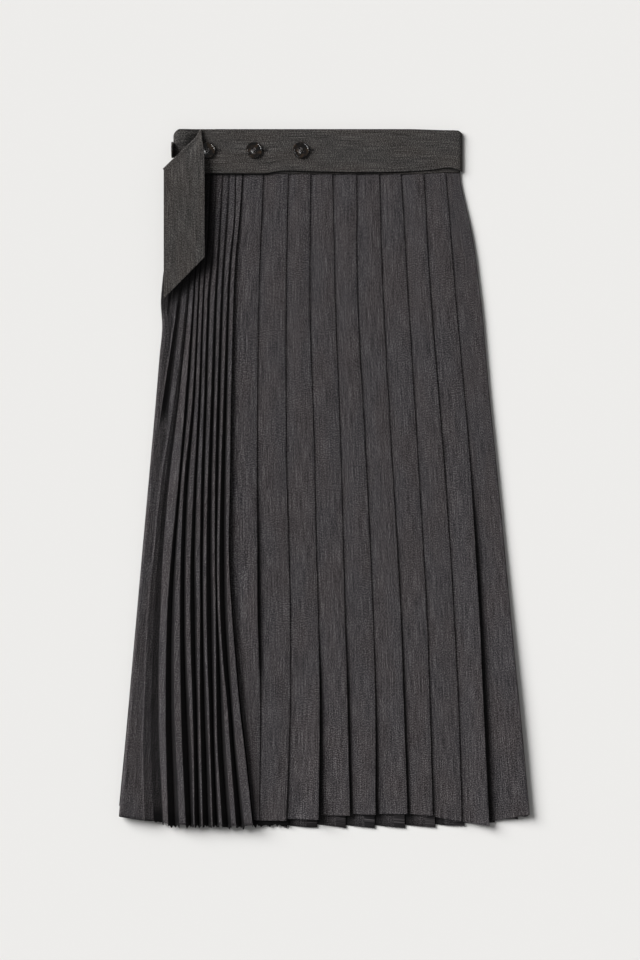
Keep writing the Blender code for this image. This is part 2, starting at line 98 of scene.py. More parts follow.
def finalMesh(piece):
    evaluated = piece.evaluated_get(bpy.context.evaluated_depsgraph_get())
    return bpy.data.meshes.new_from_object(evaluated)


def newMaterial(name, values):
    material = bpy.data.materials.new(name)
    material.use_nodes = True
    shader = material.node_tree.nodes["Principled BSDF"]
    for title, value in values.items():
        shader.inputs[title].default_value = value
    return material, material.node_tree, shader


def colourRamp(tree, factor, stops):
    # stops are (position, linear colour), the two ends first
    node = addNode(tree, "ShaderNodeValToRGB", links={"Fac": factor})
    elements = node.color_ramp.elements
    for number, (position, colour) in enumerate(stops):
        element = elements[number] if number < 2 else elements.new(position)
        element.position = position
        element.color = colour
    return node.outputs["Color"]


def addSun(name, azimuth, elevation, spread, strength):
    lamp = bpy.data.lights.new(name, "SUN")
    lamp.energy = strength
    lamp.angle = math.radians(spread)
    sun = newObject(name, lamp)
    flat = math.cos(math.radians(elevation))
    turn = math.radians(azimuth)
    towards = Vector((math.cos(turn) * flat, math.sin(turn) * flat, math.sin(math.radians(elevation))))
    sun.rotation_euler = towards.to_track_quat("Z", "Y").to_euler()
    return sun


def setUpStudio():
    scene = bpy.context.scene
    scene.view_settings.view_transform = "Standard"
    camera = bpy.data.cameras.new("overhead camera")
    camera.sensor_fit = "VERTICAL"
    camera.sensor_height = 24
    camera.lens = 24 * studio["cameraHeight"] / studio["frameHeight"]
    camera.clip_end = 20
    scene.camera = newObject("overhead camera", camera)
    scene.camera.location = (*studio["centre"], studio["cameraHeight"])

    place = studio["keyAzimuth"], studio["keyElevation"]
    key = addSun("key light", *place, studio["keySpread"], studio["keyStrength"])
    key.visible_glossy = False
    for number, glint in enumerate(studio["glints"]):
        lamp = addSun(f"glint light {number + 1}", *glint)
        lamp.visible_diffuse = False

    world = bpy.data.worlds.new("studio")
    world.use_nodes = True
    tree = world.node_tree
    tree.nodes.clear()
    values = {"Color": (1.0, 1.0, 1.0, 1.0), "Strength": studio["fillStrength"]}
    fill = addNode(tree, "ShaderNodeBackground", values)
    backdrop = addNode(tree, "ShaderNodeBackground", {"Color": toLinear(studio["backdropHex"])})
    seen = addNode(tree, "ShaderNodeLightPath").outputs["Is Camera Ray"]
    links = {0: seen, 1: fill.outputs[0], 2: backdrop.outputs[0]}
    mix = addNode(tree, "ShaderNodeMixShader", links=links)
    addNode(tree, "ShaderNodeOutputWorld", links={"Surface": mix.outputs[0]})
    scene.world = world

    # matt seamless paper
    values = {"Base Color": toLinear(studio["floorHex"]), "Roughness": 1.0, "Specular IOR Level": 0.0}
    paper = newMaterial("seamless studio paper", values)[0]
    bpy.ops.mesh.primitive_plane_add(size=12, location=(0, 0, -0.2 * mm))
    floor = bpy.context.object
    floor.name = "studio_floor"
    floor.data.materials.append(paper)


setUpStudio()
print("studio set up")

layout = {
    "waistY": 400.9,
    "seamDropLeft": 51.2,  # where the pleats are sewn to the band
    "seamDropRight": 53.5,
    "seamTurn": 40.0,  # its drop changes over this much on either side of the middle
    "frontRise": 1.8,  # the front is sewn in a little higher on the right
    "sideRise": 2.0,  # and highest at its right end, from this x over this span
    "sideRiseFrom": 90.0,
    "sideRiseSpan": 60.0,
    "sinkFrom": 60.0,  # band and belt sink towards their right end
    "sinkSpan": 80.0,
    "nominalHem": 790.0,
    "frontBase": 4.4,  # height of the front's lowest layer
    "seamZLeft": 4.5,  # where front and back meet at the sides
    "seamZRight": 2.4,
    "gap": 0.3,
}
panelLength = layout["nominalHem"] - layout["seamDropRight"]

outline = {  # the sides and the ribs' size, one column for each drop
    "drop": [52, 66, 130, 196, 228, 262, 311, 403, 484, 599, 702, 785],
    "left": [-173, -174.4, -181, -188, -186.6, -189.7, -193.8, -202, -209.2, -219.3, -228.3, -236],
    "right": [156, 157.0, 170.8, 179.4, 182.8, 185.6, 189.9, 199.2, 207.0, 217.9, 228.0, 235.4],
    "riseFrom": [-140, -141, -146, -152, -157, -162, -171, -184, -188, -192, -192, -188],
    "ribHeight": [1.4, 1.8, 3.3, 4.2, 4.5, 4.7, 5.0, 5.6, 6.4, 7.5, 8.3, 8.8],
    "shoulder": [8.0, 8.0, 8.0, 8.0, 8.0, 8.1, 8.2, 8.7, 9.3, 10.6, 11.6, 12.0],
    "sunk": [1.4, 1.2, 0.3, 0, 0, 0, 0, 0, 0, 0, 0, 0],  # how far the front sinks by its seam
}


def smooth(t):
    t = min(max(t, 0.0), 1.0)
    return t * t * (3 - 2 * t)


def between(a, b, t):
    return a + (b - a) * t


def curveThrough(places, values, place):
    # a smooth curve through the values, straight beyond its ends
    last = len(places) - 1
    slopes = []
    for i in range(last + 1):
        before, after = max(i - 1, 0), min(i + 1, last)
        slopes.append((values[after] - values[before]) / (places[after] - places[before]))
    if place <= places[0]:
        return values[0] + slopes[0] * (place - places[0])
    if place >= places[last]:
        return values[last] + slopes[last] * (place - places[last])
    i = max(k for k in range(last) if places[k] <= place)
    span = places[i + 1] - places[i]
    t = (place - places[i]) / span
    leave = t * (1 - t) ** 2 * span * slopes[i]
    arrive = t * t * (1 - t) * span * slopes[i + 1]
    return between(values[i], values[i + 1], t * t * (3 - 2 * t)) + leave - arrive


def outlineAt(column, drop):
    return curveThrough(outline["drop"], outline[column], drop)


def seamTurn(x):
    return smooth((x + layout["seamTurn"]) / (2 * layout["seamTurn"]))


def seamDrop(x):
    return between(layout["seamDropLeft"], layout["seamDropRight"], seamTurn(x))


def frontSeam(x):
    atSide = smooth((x - layout["sideRiseFrom"]) / layout["sideRiseSpan"])
    return seamDrop(x) - (layout["frontRise"] * seamTurn(x) + layout["sideRise"] * atSide)


def sinkAt(x):
    return smooth((x - layout["sinkFrom"]) / layout["sinkSpan"])


def placeAt(x, drop, z):
    return Vector((x * mm, (layout["waistY"] - drop) * mm, z * mm))


def waver(x, drop, size, across, along, seed):
    # slow unevenness of cloth, repeatable
    return size * noise.noise(Vector((x / across, drop / along, seed)))


def addWall(piece, wall):
    piece.data.shade_smooth()
    piece.data.set_sharp_from_angle(angle=math.radians(50))
    solid = piece.modifiers.new("cloth wall", "SOLIDIFY")
    solid.thickness = wall * mm
    solid.offset = 0.0
    solid.use_even_offset = True


def clothPiece(name, rows, wall, finish, shades=None, rowByRow=False):
    # rows of points become a sheet with a wall; its threads run from row to row
    columns = len(rows[0])
    points = [point for row in rows for point in row]
    faces = []
    for i in range(len(rows) - 1):
        for j in range(columns - 1):
            corner = i * columns + j
            faces.append((corner, corner + columns, corner + columns + 1, corner + 1))
    mesh = bpy.data.meshes.new(name)
    mesh.from_pydata(points, [], faces)
    grid = np.array(points).reshape(len(rows), columns, 3)
    across = np.zeros((len(rows), columns))
    across[:, 1:] = np.cumsum(np.linalg.norm(np.diff(grid, axis=1), axis=2), axis=1)
    if not rowByRow:  # every row takes the widths of one towards the hem
        across[:] = across[3 * len(rows) // 4]
    along = [0.0]
    for a, b in zip(rows, rows[1:]):
        along.append(along[-1] + (b[columns // 2] - a[columns // 2]).length)
    used = np.empty(len(mesh.loops), np.int32)
    mesh.loops.foreach_get("vertex_index", used)
    uv = np.empty((len(used), 2), np.float32)
    uv[:, 0] = across.ravel()[used]
    uv[:, 1] = np.array(along)[used // columns]
    mesh.uv_layers.new(name="UVMap").data.foreach_set("uv", uv.ravel())
    if shades:  # painted shade of each point, from none to full
        depth = mesh.attributes.new("foldDepth", "FLOAT", "POINT")
        depth.data.foreach_set("value", shades)
    mesh.materials.append(finish)
    piece = newObject(name, mesh)
    addWall(piece, wall)
    return piece


# Wool suiting is a matt woven cloth of dyed yarn. Its uneven yarn shows as fine upright
# streaks, and the mix of fibres as faint warm and cool patches. Real yarn is about
# 0.4 mm wide, too fine to show, so streaks are drawn 0.8 mm wide and the grain 1.15 mm.
suiting = {
    "darkHex": "#0e0c0d",
    "middleHex": "#353233",
    "lightHex": "#6d696a",
    "warmHex": "#3c3637",
    "coolHex": "#36373c",
    # near black that the painted shade darkens the cloth towards
    "paintedShadeHex": "#0d0c0d",
    "streakWidth": 0.8,
    "streakLength": 30.0,
    "grain": 1.15,
    "patch": 34.0,
    "weft": (9.0, 1.3),
    "weights": (0.36, 0.62, 0.08, 0.08),  # of streaks, grain, broad streaks and weft
    "tones": (0.44, 0.57, 0.70),  # where the dark, middle and light yarns lie in their sum
    "tints": (0.38, 0.62),
    "tint": 0.2,
    "roughness": 0.92,
}


def mixColours(tree, first, values, links):
    # inputs 6 and 7 of a mix node are its two colours
    mix = addNode(tree, "ShaderNodeMix", values, {6: first, **links}, data_type="RGBA")
    return mix.outputs[2]


def wovenMaterial(name, settings):
    values = {"Roughness": settings["roughness"], "Specular IOR Level": 0.12}
    values |= {"Sheen Weight": 0.03, "Sheen Roughness": 0.6}
    material, tree, shader = newMaterial(name, values)
    threads = addNode(tree, "ShaderNodeUVMap", uv_map="UVMap").outputs[0]

    def noiseAlong(width, length, detail):
        scale = (1 / (width * mm), 1 / (length * mm), 1.0)
        mapping = addNode(tree, "ShaderNodeMapping", {"Scale": scale}, {"Vector": threads})
        values = {"Scale": 1.0, "Detail": detail, "Roughness": 0.6}
        made = addNode(tree, "ShaderNodeTexNoise", values, {"Vector": mapping.outputs[0]})
        return made.outputs["Fac"]

    width, length = settings["streakWidth"], settings["streakLength"]
    patterns = [
        noiseAlong(width, length, 2.0),
        noiseAlong(settings["grain"], settings["grain"], 1.0),
        noiseAlong(3 * width, 5 * length, 2.0),
        noiseAlong(*settings["weft"], 1.0),
    ]
    patch = noiseAlong(settings["patch"], 2.5 * settings["patch"], 1.0)
    links = {}
    for weight, pattern in zip(settings["weights"], patterns):
        values = {1: weight, 2: 0.0}
        links[0] = pattern
        yarn = addNode(tree, "ShaderNodeMath", values, links, operation="MULTIPLY_ADD").outputs[0]
        links[2] = yarn
    dark, middle, light = settings["tones"]
    stops = [(dark, toLinear(settings["darkHex"])), (light, toLinear(settings["lightHex"]))]
    tones = colourRamp(tree, yarn, [*stops, (middle, toLinear(settings["middleHex"]))])
    cool, warm = settings["tints"]
    stops = [(cool, toLinear(settings["coolHex"])), (warm, toLinear(settings["warmHex"]))]
    tints = colourRamp(tree, patch, stops)
    tinted = mixColours(tree, tones, {"Factor": settings["tint"]}, {7: tints})
    # painted shade: the colour darkens towards near black by each point's painted shade, standing in for
    # the little light that gets out of a deep pressed fold
    depth = addNode(tree, "ShaderNodeAttribute", attribute_name="foldDepth").outputs["Fac"]
    withPaintedShade = mixColours(tree, tinted, {7: toLinear(settings["paintedShadeHex"])}, {"Factor": depth})
    tree.links.new(withPaintedShade, shader.inputs["Base Color"])
    values = {"Strength": 0.35, "Distance": 0.25 * mm}
    bump = addNode(tree, "ShaderNodeBump", values, {"Height": yarn})
    tree.links.new(bump.outputs[0], shader.inputs["Normal"])
    return material


suitingCloth = wovenMaterial("charcoal wool suiting", suiting)
bandCloth = wovenMaterial(
    "pressed charcoal wool suiting",
    {
        **suiting,
        "darkHex": "#0a0908",
        "middleHex": "#343230",
        "lightHex": "#706c6a",
        "warmHex": "#3e3835",
        "coolHex": "#363738",
        "roughness": 0.88,
    },
)
print("cloth materials made")

ribs = {
    "wall": 0.6,
    "rows": 160,
    "rounding": 0.5,
    "roundingShare": 0.42,  # most of a face's width that one rounded edge may take
    "faceSag": 0.12,  # hollow of a face this wide or wider
    "sagWidth": 5.0,
    "underSteps": 28,
    "overhang": 0.5,  # how far the last rib leans over its own foot
    "rollWidth": 6.0,
    "sideRoll": 3.5,
    "sideMargin": 4.2,
    "sidePitch": 0.9,
    "fadeSpan": 2.5,
    "runningOff": 2,  # ribs that meet the left side above the hem
    "drops": [52, 106, 150, 196, 311, 403, 484, 542, 599, 656, 702, 765],
    "heights": [0.4, 0.7, 0.7, 0.9, 1.0, 0.95, 0.9, 1.0, 0.9, 1.0, 1.0],  # shares of the rib height
    "edges": [  # the x of each rib's edge at each drop
        (-166.5, -171.0, -175.0, -179.7, -193.0, -200, -208, -213, -218, -223, -227, -233),
        (-159.9, -162.0, -165.5, -168.8, -186.0, -199.0, -207, -212, -217, -222, -226, -232),
        (-152.1, -155.0, -157.0, -159.1, -172.9, -187.6, -196, -201.7, -204.8, -206.8, -208.6, -207.2),
        (-145.3, -147.6, -149.3, -151.5, -160.3, -168.1, -176.1, -180.3, -182.1, -182.6, -182.0, -180.3),
        (-139.0, -141.0, -143.5, -145.9, -152.1, -161.3, -165.1, -166.0, -165.8, -164.9, -163.5, -160.5),
        (-132.8, -135.0, -137.6, -140.4, -145.0, -150.2, -153.8, -154.3, -153.4, -151.5, -150.3, -149.6),
        (-124.8, -128.3, -130.9, -134.6, -138.5, -141.9, -143.2, -143.0, -143.2, -143.0, -141.9, -140.5),
        (-117.9, -121.0, -123.7, -126.5, -130.7, -134.2, -135.8, -135.7, -134.7, -132.6, -131.4, -129.3),
        (-110.6, -113.6, -116.9, -119.4, -123.6, -125.9, -126.0, -125.2, -124.8, -124.2, -123.0, -119.1),
        (-102.9, -104.4, -109.2, -112.0, -116.2, -119.4, -120.8, -120.2, -117.0, -111.5, -108.3, -103.4),
        (-94.1, -98.2, -102.4, -104.6, -107.4, -108.7, -109.9, -106.9, -102.5, -97.4, -91.9, -85.0),
    ],
    "hollows": [  # share of the way to the next edge that lies in the fold's hollow
        (0.4, 0.4, 0.4, 0.4, 0.5, 0.5, 0.5, 0.5, 0.5, 0.5, 0.5, 0.5),
        (0.4, 0.45, 0.47, 0.49, 0.55, 0.64, 0.7, 0.7, 0.7, 0.7, 0.7, 0.7),
        (0.35, 0.4, 0.45, 0.46, 0.445, 0.47, 0.54, 0.65, 0.66, 0.685, 0.72, 0.78),
        (0.35, 0.45, 0.5, 0.5, 0.51, 0.51, 0.53, 0.53, 0.51, 0.52, 0.55, 0.57),
        (0.35, 0.4, 0.4, 0.42, 0.48, 0.48, 0.515, 0.54, 0.56, 0.65, 0.74, 0.8),
        (0.35, 0.4, 0.4, 0.43, 0.49, 0.49, 0.52, 0.62, 0.65, 0.72, 0.65, 0.74),
        (0.4, 0.5, 0.55, 0.45, 0.5, 0.58, 0.55, 0.53, 0.63, 0.69, 0.76, 0.79),
        (0.44, 0.44, 0.52, 0.5, 0.6, 0.62, 0.67, 0.72, 0.73, 0.7, 0.67, 0.63),
        (0.48, 0.44, 0.5, 0.51, 0.59, 0.66, 0.52, 0.55, 0.67, 0.6, 0.6, 0.6),
        (0.26, 0.36, 0.48, 0.45, 0.53, 0.58, 0.68, 0.6, 0.53, 0.43, 0.39, 0.44),
    ],
    "valley": 0.6,  # share of the hollow taken by the far side of the rib
    "firstValley": 0.94,
    "lip": 0.84,  # height at which the next rib's face comes out of the hollow
    "hollowReach": 1.12,  # the upper part of a hollow's near wall still catches light
    "leastFace": 0.9,  # width that a face keeps beside its hollow
    "runOffGap": 0.3,  # from a rib that has run off to the next one's edge
    "sideDrops": [150, 196, 228, 262, 290, 311, 357, 403, 450, 484, 500],
    "sideShade": [0, 0.45, 0.6, 0.55, 0.3, 0.1, 0.55, 0.2, 0.14, 0.05, 0.05],  # painted shade, left of the ribs
    "sideShadeFrom": 150.0,
    "sideShadeSpan": 30.0,
    "sideReach": 1.3,  # the shade grows this fast from the side to the first rib
    "sideClear": 3.5,  # and is gone this near to the rib's edge
    "sideFade": 2.5,
    "sideDip": 1.0,  # how far the side face sinks just before the first whole rib
    "dipWidth": 1.1,
    "flankBulge": 0.05,  # of the first whole rib's wide far side
    "flankShade": (0.2, 0.55),
    "flankLip": 0.3,
    "shadeHeight": 5.0,  # a rib of this height or more has the full painted shade in its hollow
    "hollowShade": 0.86,
    "underFrom": 600,  # the last rib's cloth runs on a little way under the flat pleats
    "underSpan": 120,
    "underDepth": 1.1,
    "underWidth": 41.0,
    "underTurn": 0.5,
    "hemX": [-237.0, -207.0, -188.0, -177.0, -130.0, -100.0, -84.0, -70.0, -40.0],
    "hemDrop": [789.5, 794.0, 795.0, 798.4, 799.2, 800.4, 799.5, 798.0, 798.0],
    "teeth": 6.0,  # how far the folds' inner edges may hang under the hem
    "toothWidth": 2.3,
    "toothBase": 0.4,
    "hemShade": (0.97, 0.02),  # the folds' painted shade is full from this share of the length
    "toothSeed": 11.0,
    "waver": (0.25, 9.0, 70.0, 3.0),  # size, width, length and seed of the cloth's unevenness
}

band = {
    "wall": 1.3,
    "left": -173.7,
    "leftRoll": 7.5,
    "right": 156.2,
    "rightFall": 0.8,
    "rightRoll": 4.0,
    "corner": 8.5,
    "cornerCurve": 1.5,
    "frontZ": 4.7,
    "backZ": 0.8,
    "frontX": [-120.0, -90.0, -60.0, -30.0, 0.0, 30.0, 60.0, 80.0, 95.0, 110.0, 125.0, 140.0],
    "backX": [140.0, 120.0, 100.0, 80.0, 40.0, 0.0, -40.0, -80.0, -120.0, -150.0],
    "shares": [0.0, 0.125, 0.25, 0.375, 0.5, 0.625, 0.75, 0.84, 0.88, 0.91, 0.94, 0.97, 1.0],
    "lift": 4.4,  # how far it climbs at its left end
    "liftFrom": -145.0,
    "liftSpan": 17.0,
    "liftFade": 90.0,
    "hollowShade": 0.65,  # painted shade where the belt's fold stands off the band
    "hollowFrom": 1.5,
    "hollowWidth": 7.5,
    "hollowDrop": 28.0,
    "hollowFade": 12.0,
}


def bandLift(x):
    return band["lift"] * smooth((band["liftFrom"] - x) / band["liftSpan"])


def rightDip(x):
    # the band and the belt sink a little and round off at their upper right corner
    turn = min(max((x - belt["right"] + belt["corner"]) / belt["corner"], 0.0), 1.0)
    sunk = belt["rightDip"] * smooth((x - belt["dipFrom"]) / belt["dipSpan"])
    return sunk + belt["corner"] * (1 - math.sqrt(1 - turn ** 2))


belt = {
    "wall": 1.4,
    "right": 158.8,
    "z": 7.0,
    "lift": 4.6,
    "liftFrom": -142.5,
    "liftSpan": 22.0,
    "edgeX": [-190.0, -150.0, -129.0, -68.0, -48.0, 0.0, 75.0, 120.0, 145.5, 160.0],
    "edgeDrop": [46.6, 50.2, 50.6, 50.6, 47.8, 49.0, 49.3, 47.0, 44.4, 49.6],
    "corner": 8.0,
    "tailShade": 0.8,
    "tailShadeFrom": 7.5,
    "tailShadeWidth": 12.0,
    "tailShadeScale": (1.25, 0.7),  # across and down
    "edgeShade": 0.85,
    "edgeShadeDrop": 0.4,
    "edgeShadeWidth": 3.2,
    "rightRoll": 5.0,
    "rightLow": 1.0,
    "rightFall": 1.6,  # how far it sinks towards its right end
    "rightDip": 1.2,  # and how far its upper edge drops there
    "dipFrom": 95.0,
    "dipSpan": 50.0,
    "flatTo": -125.0,  # where the belt starts to slant towards its fold
    "foldRight": (-141.0, 1.6),
    "foldLeft": (-184.5, 47.4),
    "foldHeight": 2.4,
    "foldBulge": 3.0,  # the fold bends towards the tail near its top
    "bulgeShare": 0.22,
    "foldRise": 0.9,
    "tailRightX": -137.4,
    "tailLeftEndX": -184.6,
    "tailTurn": 0.25,  # share of the tail over which its right edge comes to hang straight
    "tailUnbend": 0.2,
    "tailRightLength": 146.0,
    "tailLeftLength": 147.8,
    "settle": 0.09,
    "tailShare": [0.0, 0.06, 0.2, 0.5, 0.75, 1.0],
    "tailRight": [11.0, 14.6, 17.0, 17.8, 17.6, 17.0],
    "tailLeft": [14.7, 15.2, 15.6, 15.4, 15.0, 14.6],
}


def beltEdge(x):
    return curveThrough(belt["edgeX"], belt["edgeDrop"], x)


def beltShade(x, drop):
    # painted shadow: the narrow dark line right under the belt's lower edge
    past = abs(drop - beltEdge(x) - belt["edgeShadeDrop"])
    return belt["edgeShade"] * (1 - smooth(past / belt["edgeShadeWidth"]))


def tailShade(x, drop):
    # painted shadow on the ribs round the tail's right edge and its slanting end, deepening the lamp's
    # own
    right, left = belt["tailRightX"], belt["tailLeftEndX"]
    rightEnd = belt["foldRight"][1] + belt["tailRightLength"]
    leftEnd = belt["foldLeft"][1] + belt["tailLeftLength"]
    edge = between(rightEnd, leftEnd, min(max((x - right) / (left - right), 0.0), 1.0))
    across, down = belt["tailShadeScale"]
    past = math.hypot(max(drop - edge, 0.0) * down, max(x - right, 0.0) * across)
    return belt["tailShade"] * (1 - smooth((past - belt["tailShadeFrom"]) / belt["tailShadeWidth"]))


def ribEdges(drop):
    side = outlineAt("left", drop)
    edges = []
    for number, row in enumerate(ribs["edges"]):
        x = curveThrough(ribs["drops"], row, drop)
        nearest = side + ribs["sideMargin"] + ribs["sidePitch"] * number
        fade = 1.0
        if number < ribs["runningOff"]:
            fade = smooth((x - nearest) / ribs["fadeSpan"])
        edges.append((max(x, nearest), fade))
    return edges


def quarterRoll(startX, startZ, endX, endZ, steps):
    # a quarter of an ellipse that leaves upright and arrives level
    points = []
    for step in range(steps):
        angle = math.pi / 2 * step / steps
        x = startX + (endX - startX) * (1 - math.cos(angle))
        points.append((x, startZ + (endZ - startZ) * math.sin(angle)))
    return points


def roundedPath(corners):
    # corners are (x, z, shade of the face before it), and so are the points
    path = [corners[0]]
    for before, corner, after in zip(corners, corners[1:], corners[2:]):
        peak = Vector(corner[:2])
        into = peak - Vector(before[:2])
        out = Vector(after[:2]) - peak
        share = ribs["roundingShare"]
        start = peak - into.normalized() * min(ribs["rounding"], share * into.length)
        end = peak + out.normalized() * min(ribs["rounding"], share * out.length)
        previous = Vector(path[-1][:2])
        sag = ribs["faceSag"] * min(1.0, into.length / ribs["sagWidth"])
        for t in (0.25, 0.5, 0.75):  # the flat of the face, very slightly hollow
            x, z = previous.lerp(start, t)
            path.append((x, z - sag * 4 * t * (1 - t), corner[2]))
        for t in (0.0, 0.25, 0.5, 0.75, 1.0):
            x, z = start.lerp(peak, t).lerp(peak.lerp(end, t), t)
            path.append((x, z, between(corner[2], after[2], t)))
    last = Vector(path[-1][:2])
    steps = ribs["underSteps"]
    for step in range(1, steps + 1):
        x, z = last.lerp(Vector(corners[-1][:2]), step / steps)
        path.append((x, z, corners[-1][2]))
    return path


def ribPath(drop):
    side = outlineAt("left", drop)
    riseFrom = outlineAt("riseFrom", drop)
    height = outlineAt("ribHeight", drop)
    shoulder = outlineAt("shoulder", drop)
    base = layout["frontBase"] - outlineAt("sunk", drop)
    edges = ribEdges(drop)
    crests = []
    fade = 1 - smooth((drop - layout["seamDropRight"]) / band["liftFade"])

    def ground(x):
        climb = smooth((riseFrom - x) / (riseFrom - side - ribs["rollWidth"]))
        return base + max((shoulder - base) * climb, bandLift(x) * fade)

    for number, (share, (x, alive)) in enumerate(zip(ribs["heights"], edges)):
        z = ground(x) + share * height * alive
        if number == ribs["runningOff"]:
            z = between(min(z, shoulder), z, edges[number - 1][1])
        crests.append(z)
    # a rib that has run off the side leaves a plain face up to the first whole rib
    whole = ribs["runningOff"]
    dipX = edges[whole][0] - ribs["dipWidth"]
    dipZ = crests[whole] - ribs["sideDip"]

    def plain(x):
        share = (x - edges[0][0]) / (dipX - edges[0][0])
        return between(shoulder, dipZ, min(max(share, 0.0), 1.0))

    corners = []
    for number, (x, alive) in enumerate(edges):
        # painted shade in every rib's hollow, full for a tall rib
        shade = ribs["hollowShade"] * alive * min(1.0, height / ribs["shadeHeight"]) ** 2
        z = crests[number] if number >= whole else between(plain(x), crests[number], alive)
        corners.append((x, z, 0.0))
        if number == len(edges) - 1:
            x -= ribs["overhang"]
            grow = smooth((drop - ribs["underFrom"]) / ribs["underSpan"])
            low = base - ribs["underDepth"] * grow
            corners.append((x, base, shade))
            # painted full shade on the cloth that runs on under the flat pleats
            corners.append((x + ribs["underTurn"], low, 1.0))
            corners.append((x + 2 * ribs["underTurn"] + ribs["underWidth"] * grow, low, 1.0))
            continue
        nextX = edges[number + 1][0]
        hollow = curveThrough(ribs["drops"], ribs["hollows"][number], drop)
        if number != whole:
            hollow = min(hollow * ribs["hollowReach"], 1 - ribs["leastFace"] / (nextX - x))
        lipX = between(x, nextX, hollow)
        if number == whole:
            foot = between(x, nextX, hollow * ribs["firstValley"])
            halfway = between(x, foot, 0.5)
            halfZ = between(z, ground(foot), 0.5 - ribs["flankBulge"])
            # painted shade on the first whole rib's wide far side, darker at its foot
            corners.append((halfway, halfZ, ribs["flankShade"][0]))
            corners.append((foot, ground(foot), ribs["flankShade"][1]))
            lipZ = between(ground(lipX), crests[number + 1], ribs["flankLip"])
            corners.append((lipX, lipZ, shade))
            continue
        foot = between(x, nextX, hollow * ribs["valley"])
        footZ = ground(foot)
        lipZ = between(ground(lipX), crests[number + 1], ribs["lip"])
        if number < whole:
            flatX = dipX if number == whole - 1 else nextX - ribs["runOffGap"]
            lipX = between(flatX, lipX, alive)
            foot = between(between(x, lipX, 0.5), foot, alive)
            lipZ = between(plain(lipX), lipZ, alive)
            footZ = between(plain(foot), footZ, alive)
        corners.append((foot, footZ, shade))
        corners.append((lipX, lipZ, shade))
    wall = ribs["wall"]
    start = (side + wall / 2, layout["seamZLeft"] + layout["gap"] / 2)
    rolled = (side + ribs["sideRoll"], shoulder)
    roll = [(x, z, 0.0) for x, z in quarterRoll(*start, *rolled, 6)]
    path = roll + roundedPath([(*rolled, 0.0)] + corners)
    # painted shade on the side's own face, standing in for the ribs beside it keeping it partly out of
    # the light
    ridge = between(edges[whole][0], edges[whole - 1][0], edges[whole - 1][1])
    dim = curveThrough(ribs["sideDrops"], ribs["sideShade"], min(drop, 500))
    dim = max(dim, 0.0) * smooth((drop - ribs["sideShadeFrom"]) / ribs["sideShadeSpan"])
    shaded = []
    for x, z, shade in path:
        if x < ridge:
            reach = min(1.0, ribs["sideReach"] * (x - side) / (ridge - side))
            fading = smooth((x - ridge + ribs["sideClear"]) / ribs["sideFade"])
            shade = max(shade, dim * reach * (1 - fading))
        shaded.append((x, z, shade))
    return shaded


def ribSection(drop, share):
    # (x, height, hem drop, shade) along the ribs
    darkFrom, darkSpan = ribs["hemShade"]
    section = []
    for x, z, shade in ribPath(drop):
        hem = curveThrough(ribs["hemX"], ribs["hemDrop"], x)
        tooth = noise.noise(Vector((x / ribs["toothWidth"], 0.0, ribs["toothSeed"])))
        hem += ribs["teeth"] * shade * max(0.0, ribs["toothBase"] + tooth)
        # painted shade of the folds grows full towards the hem
        if shade > 0.5:
            shade = between(shade, 1.0, smooth((share - darkFrom) / darkSpan))
        z += waver(x, drop, *ribs["waver"]) * smooth(6 * share)
        section.append((x, z, hem, shade))
    return section


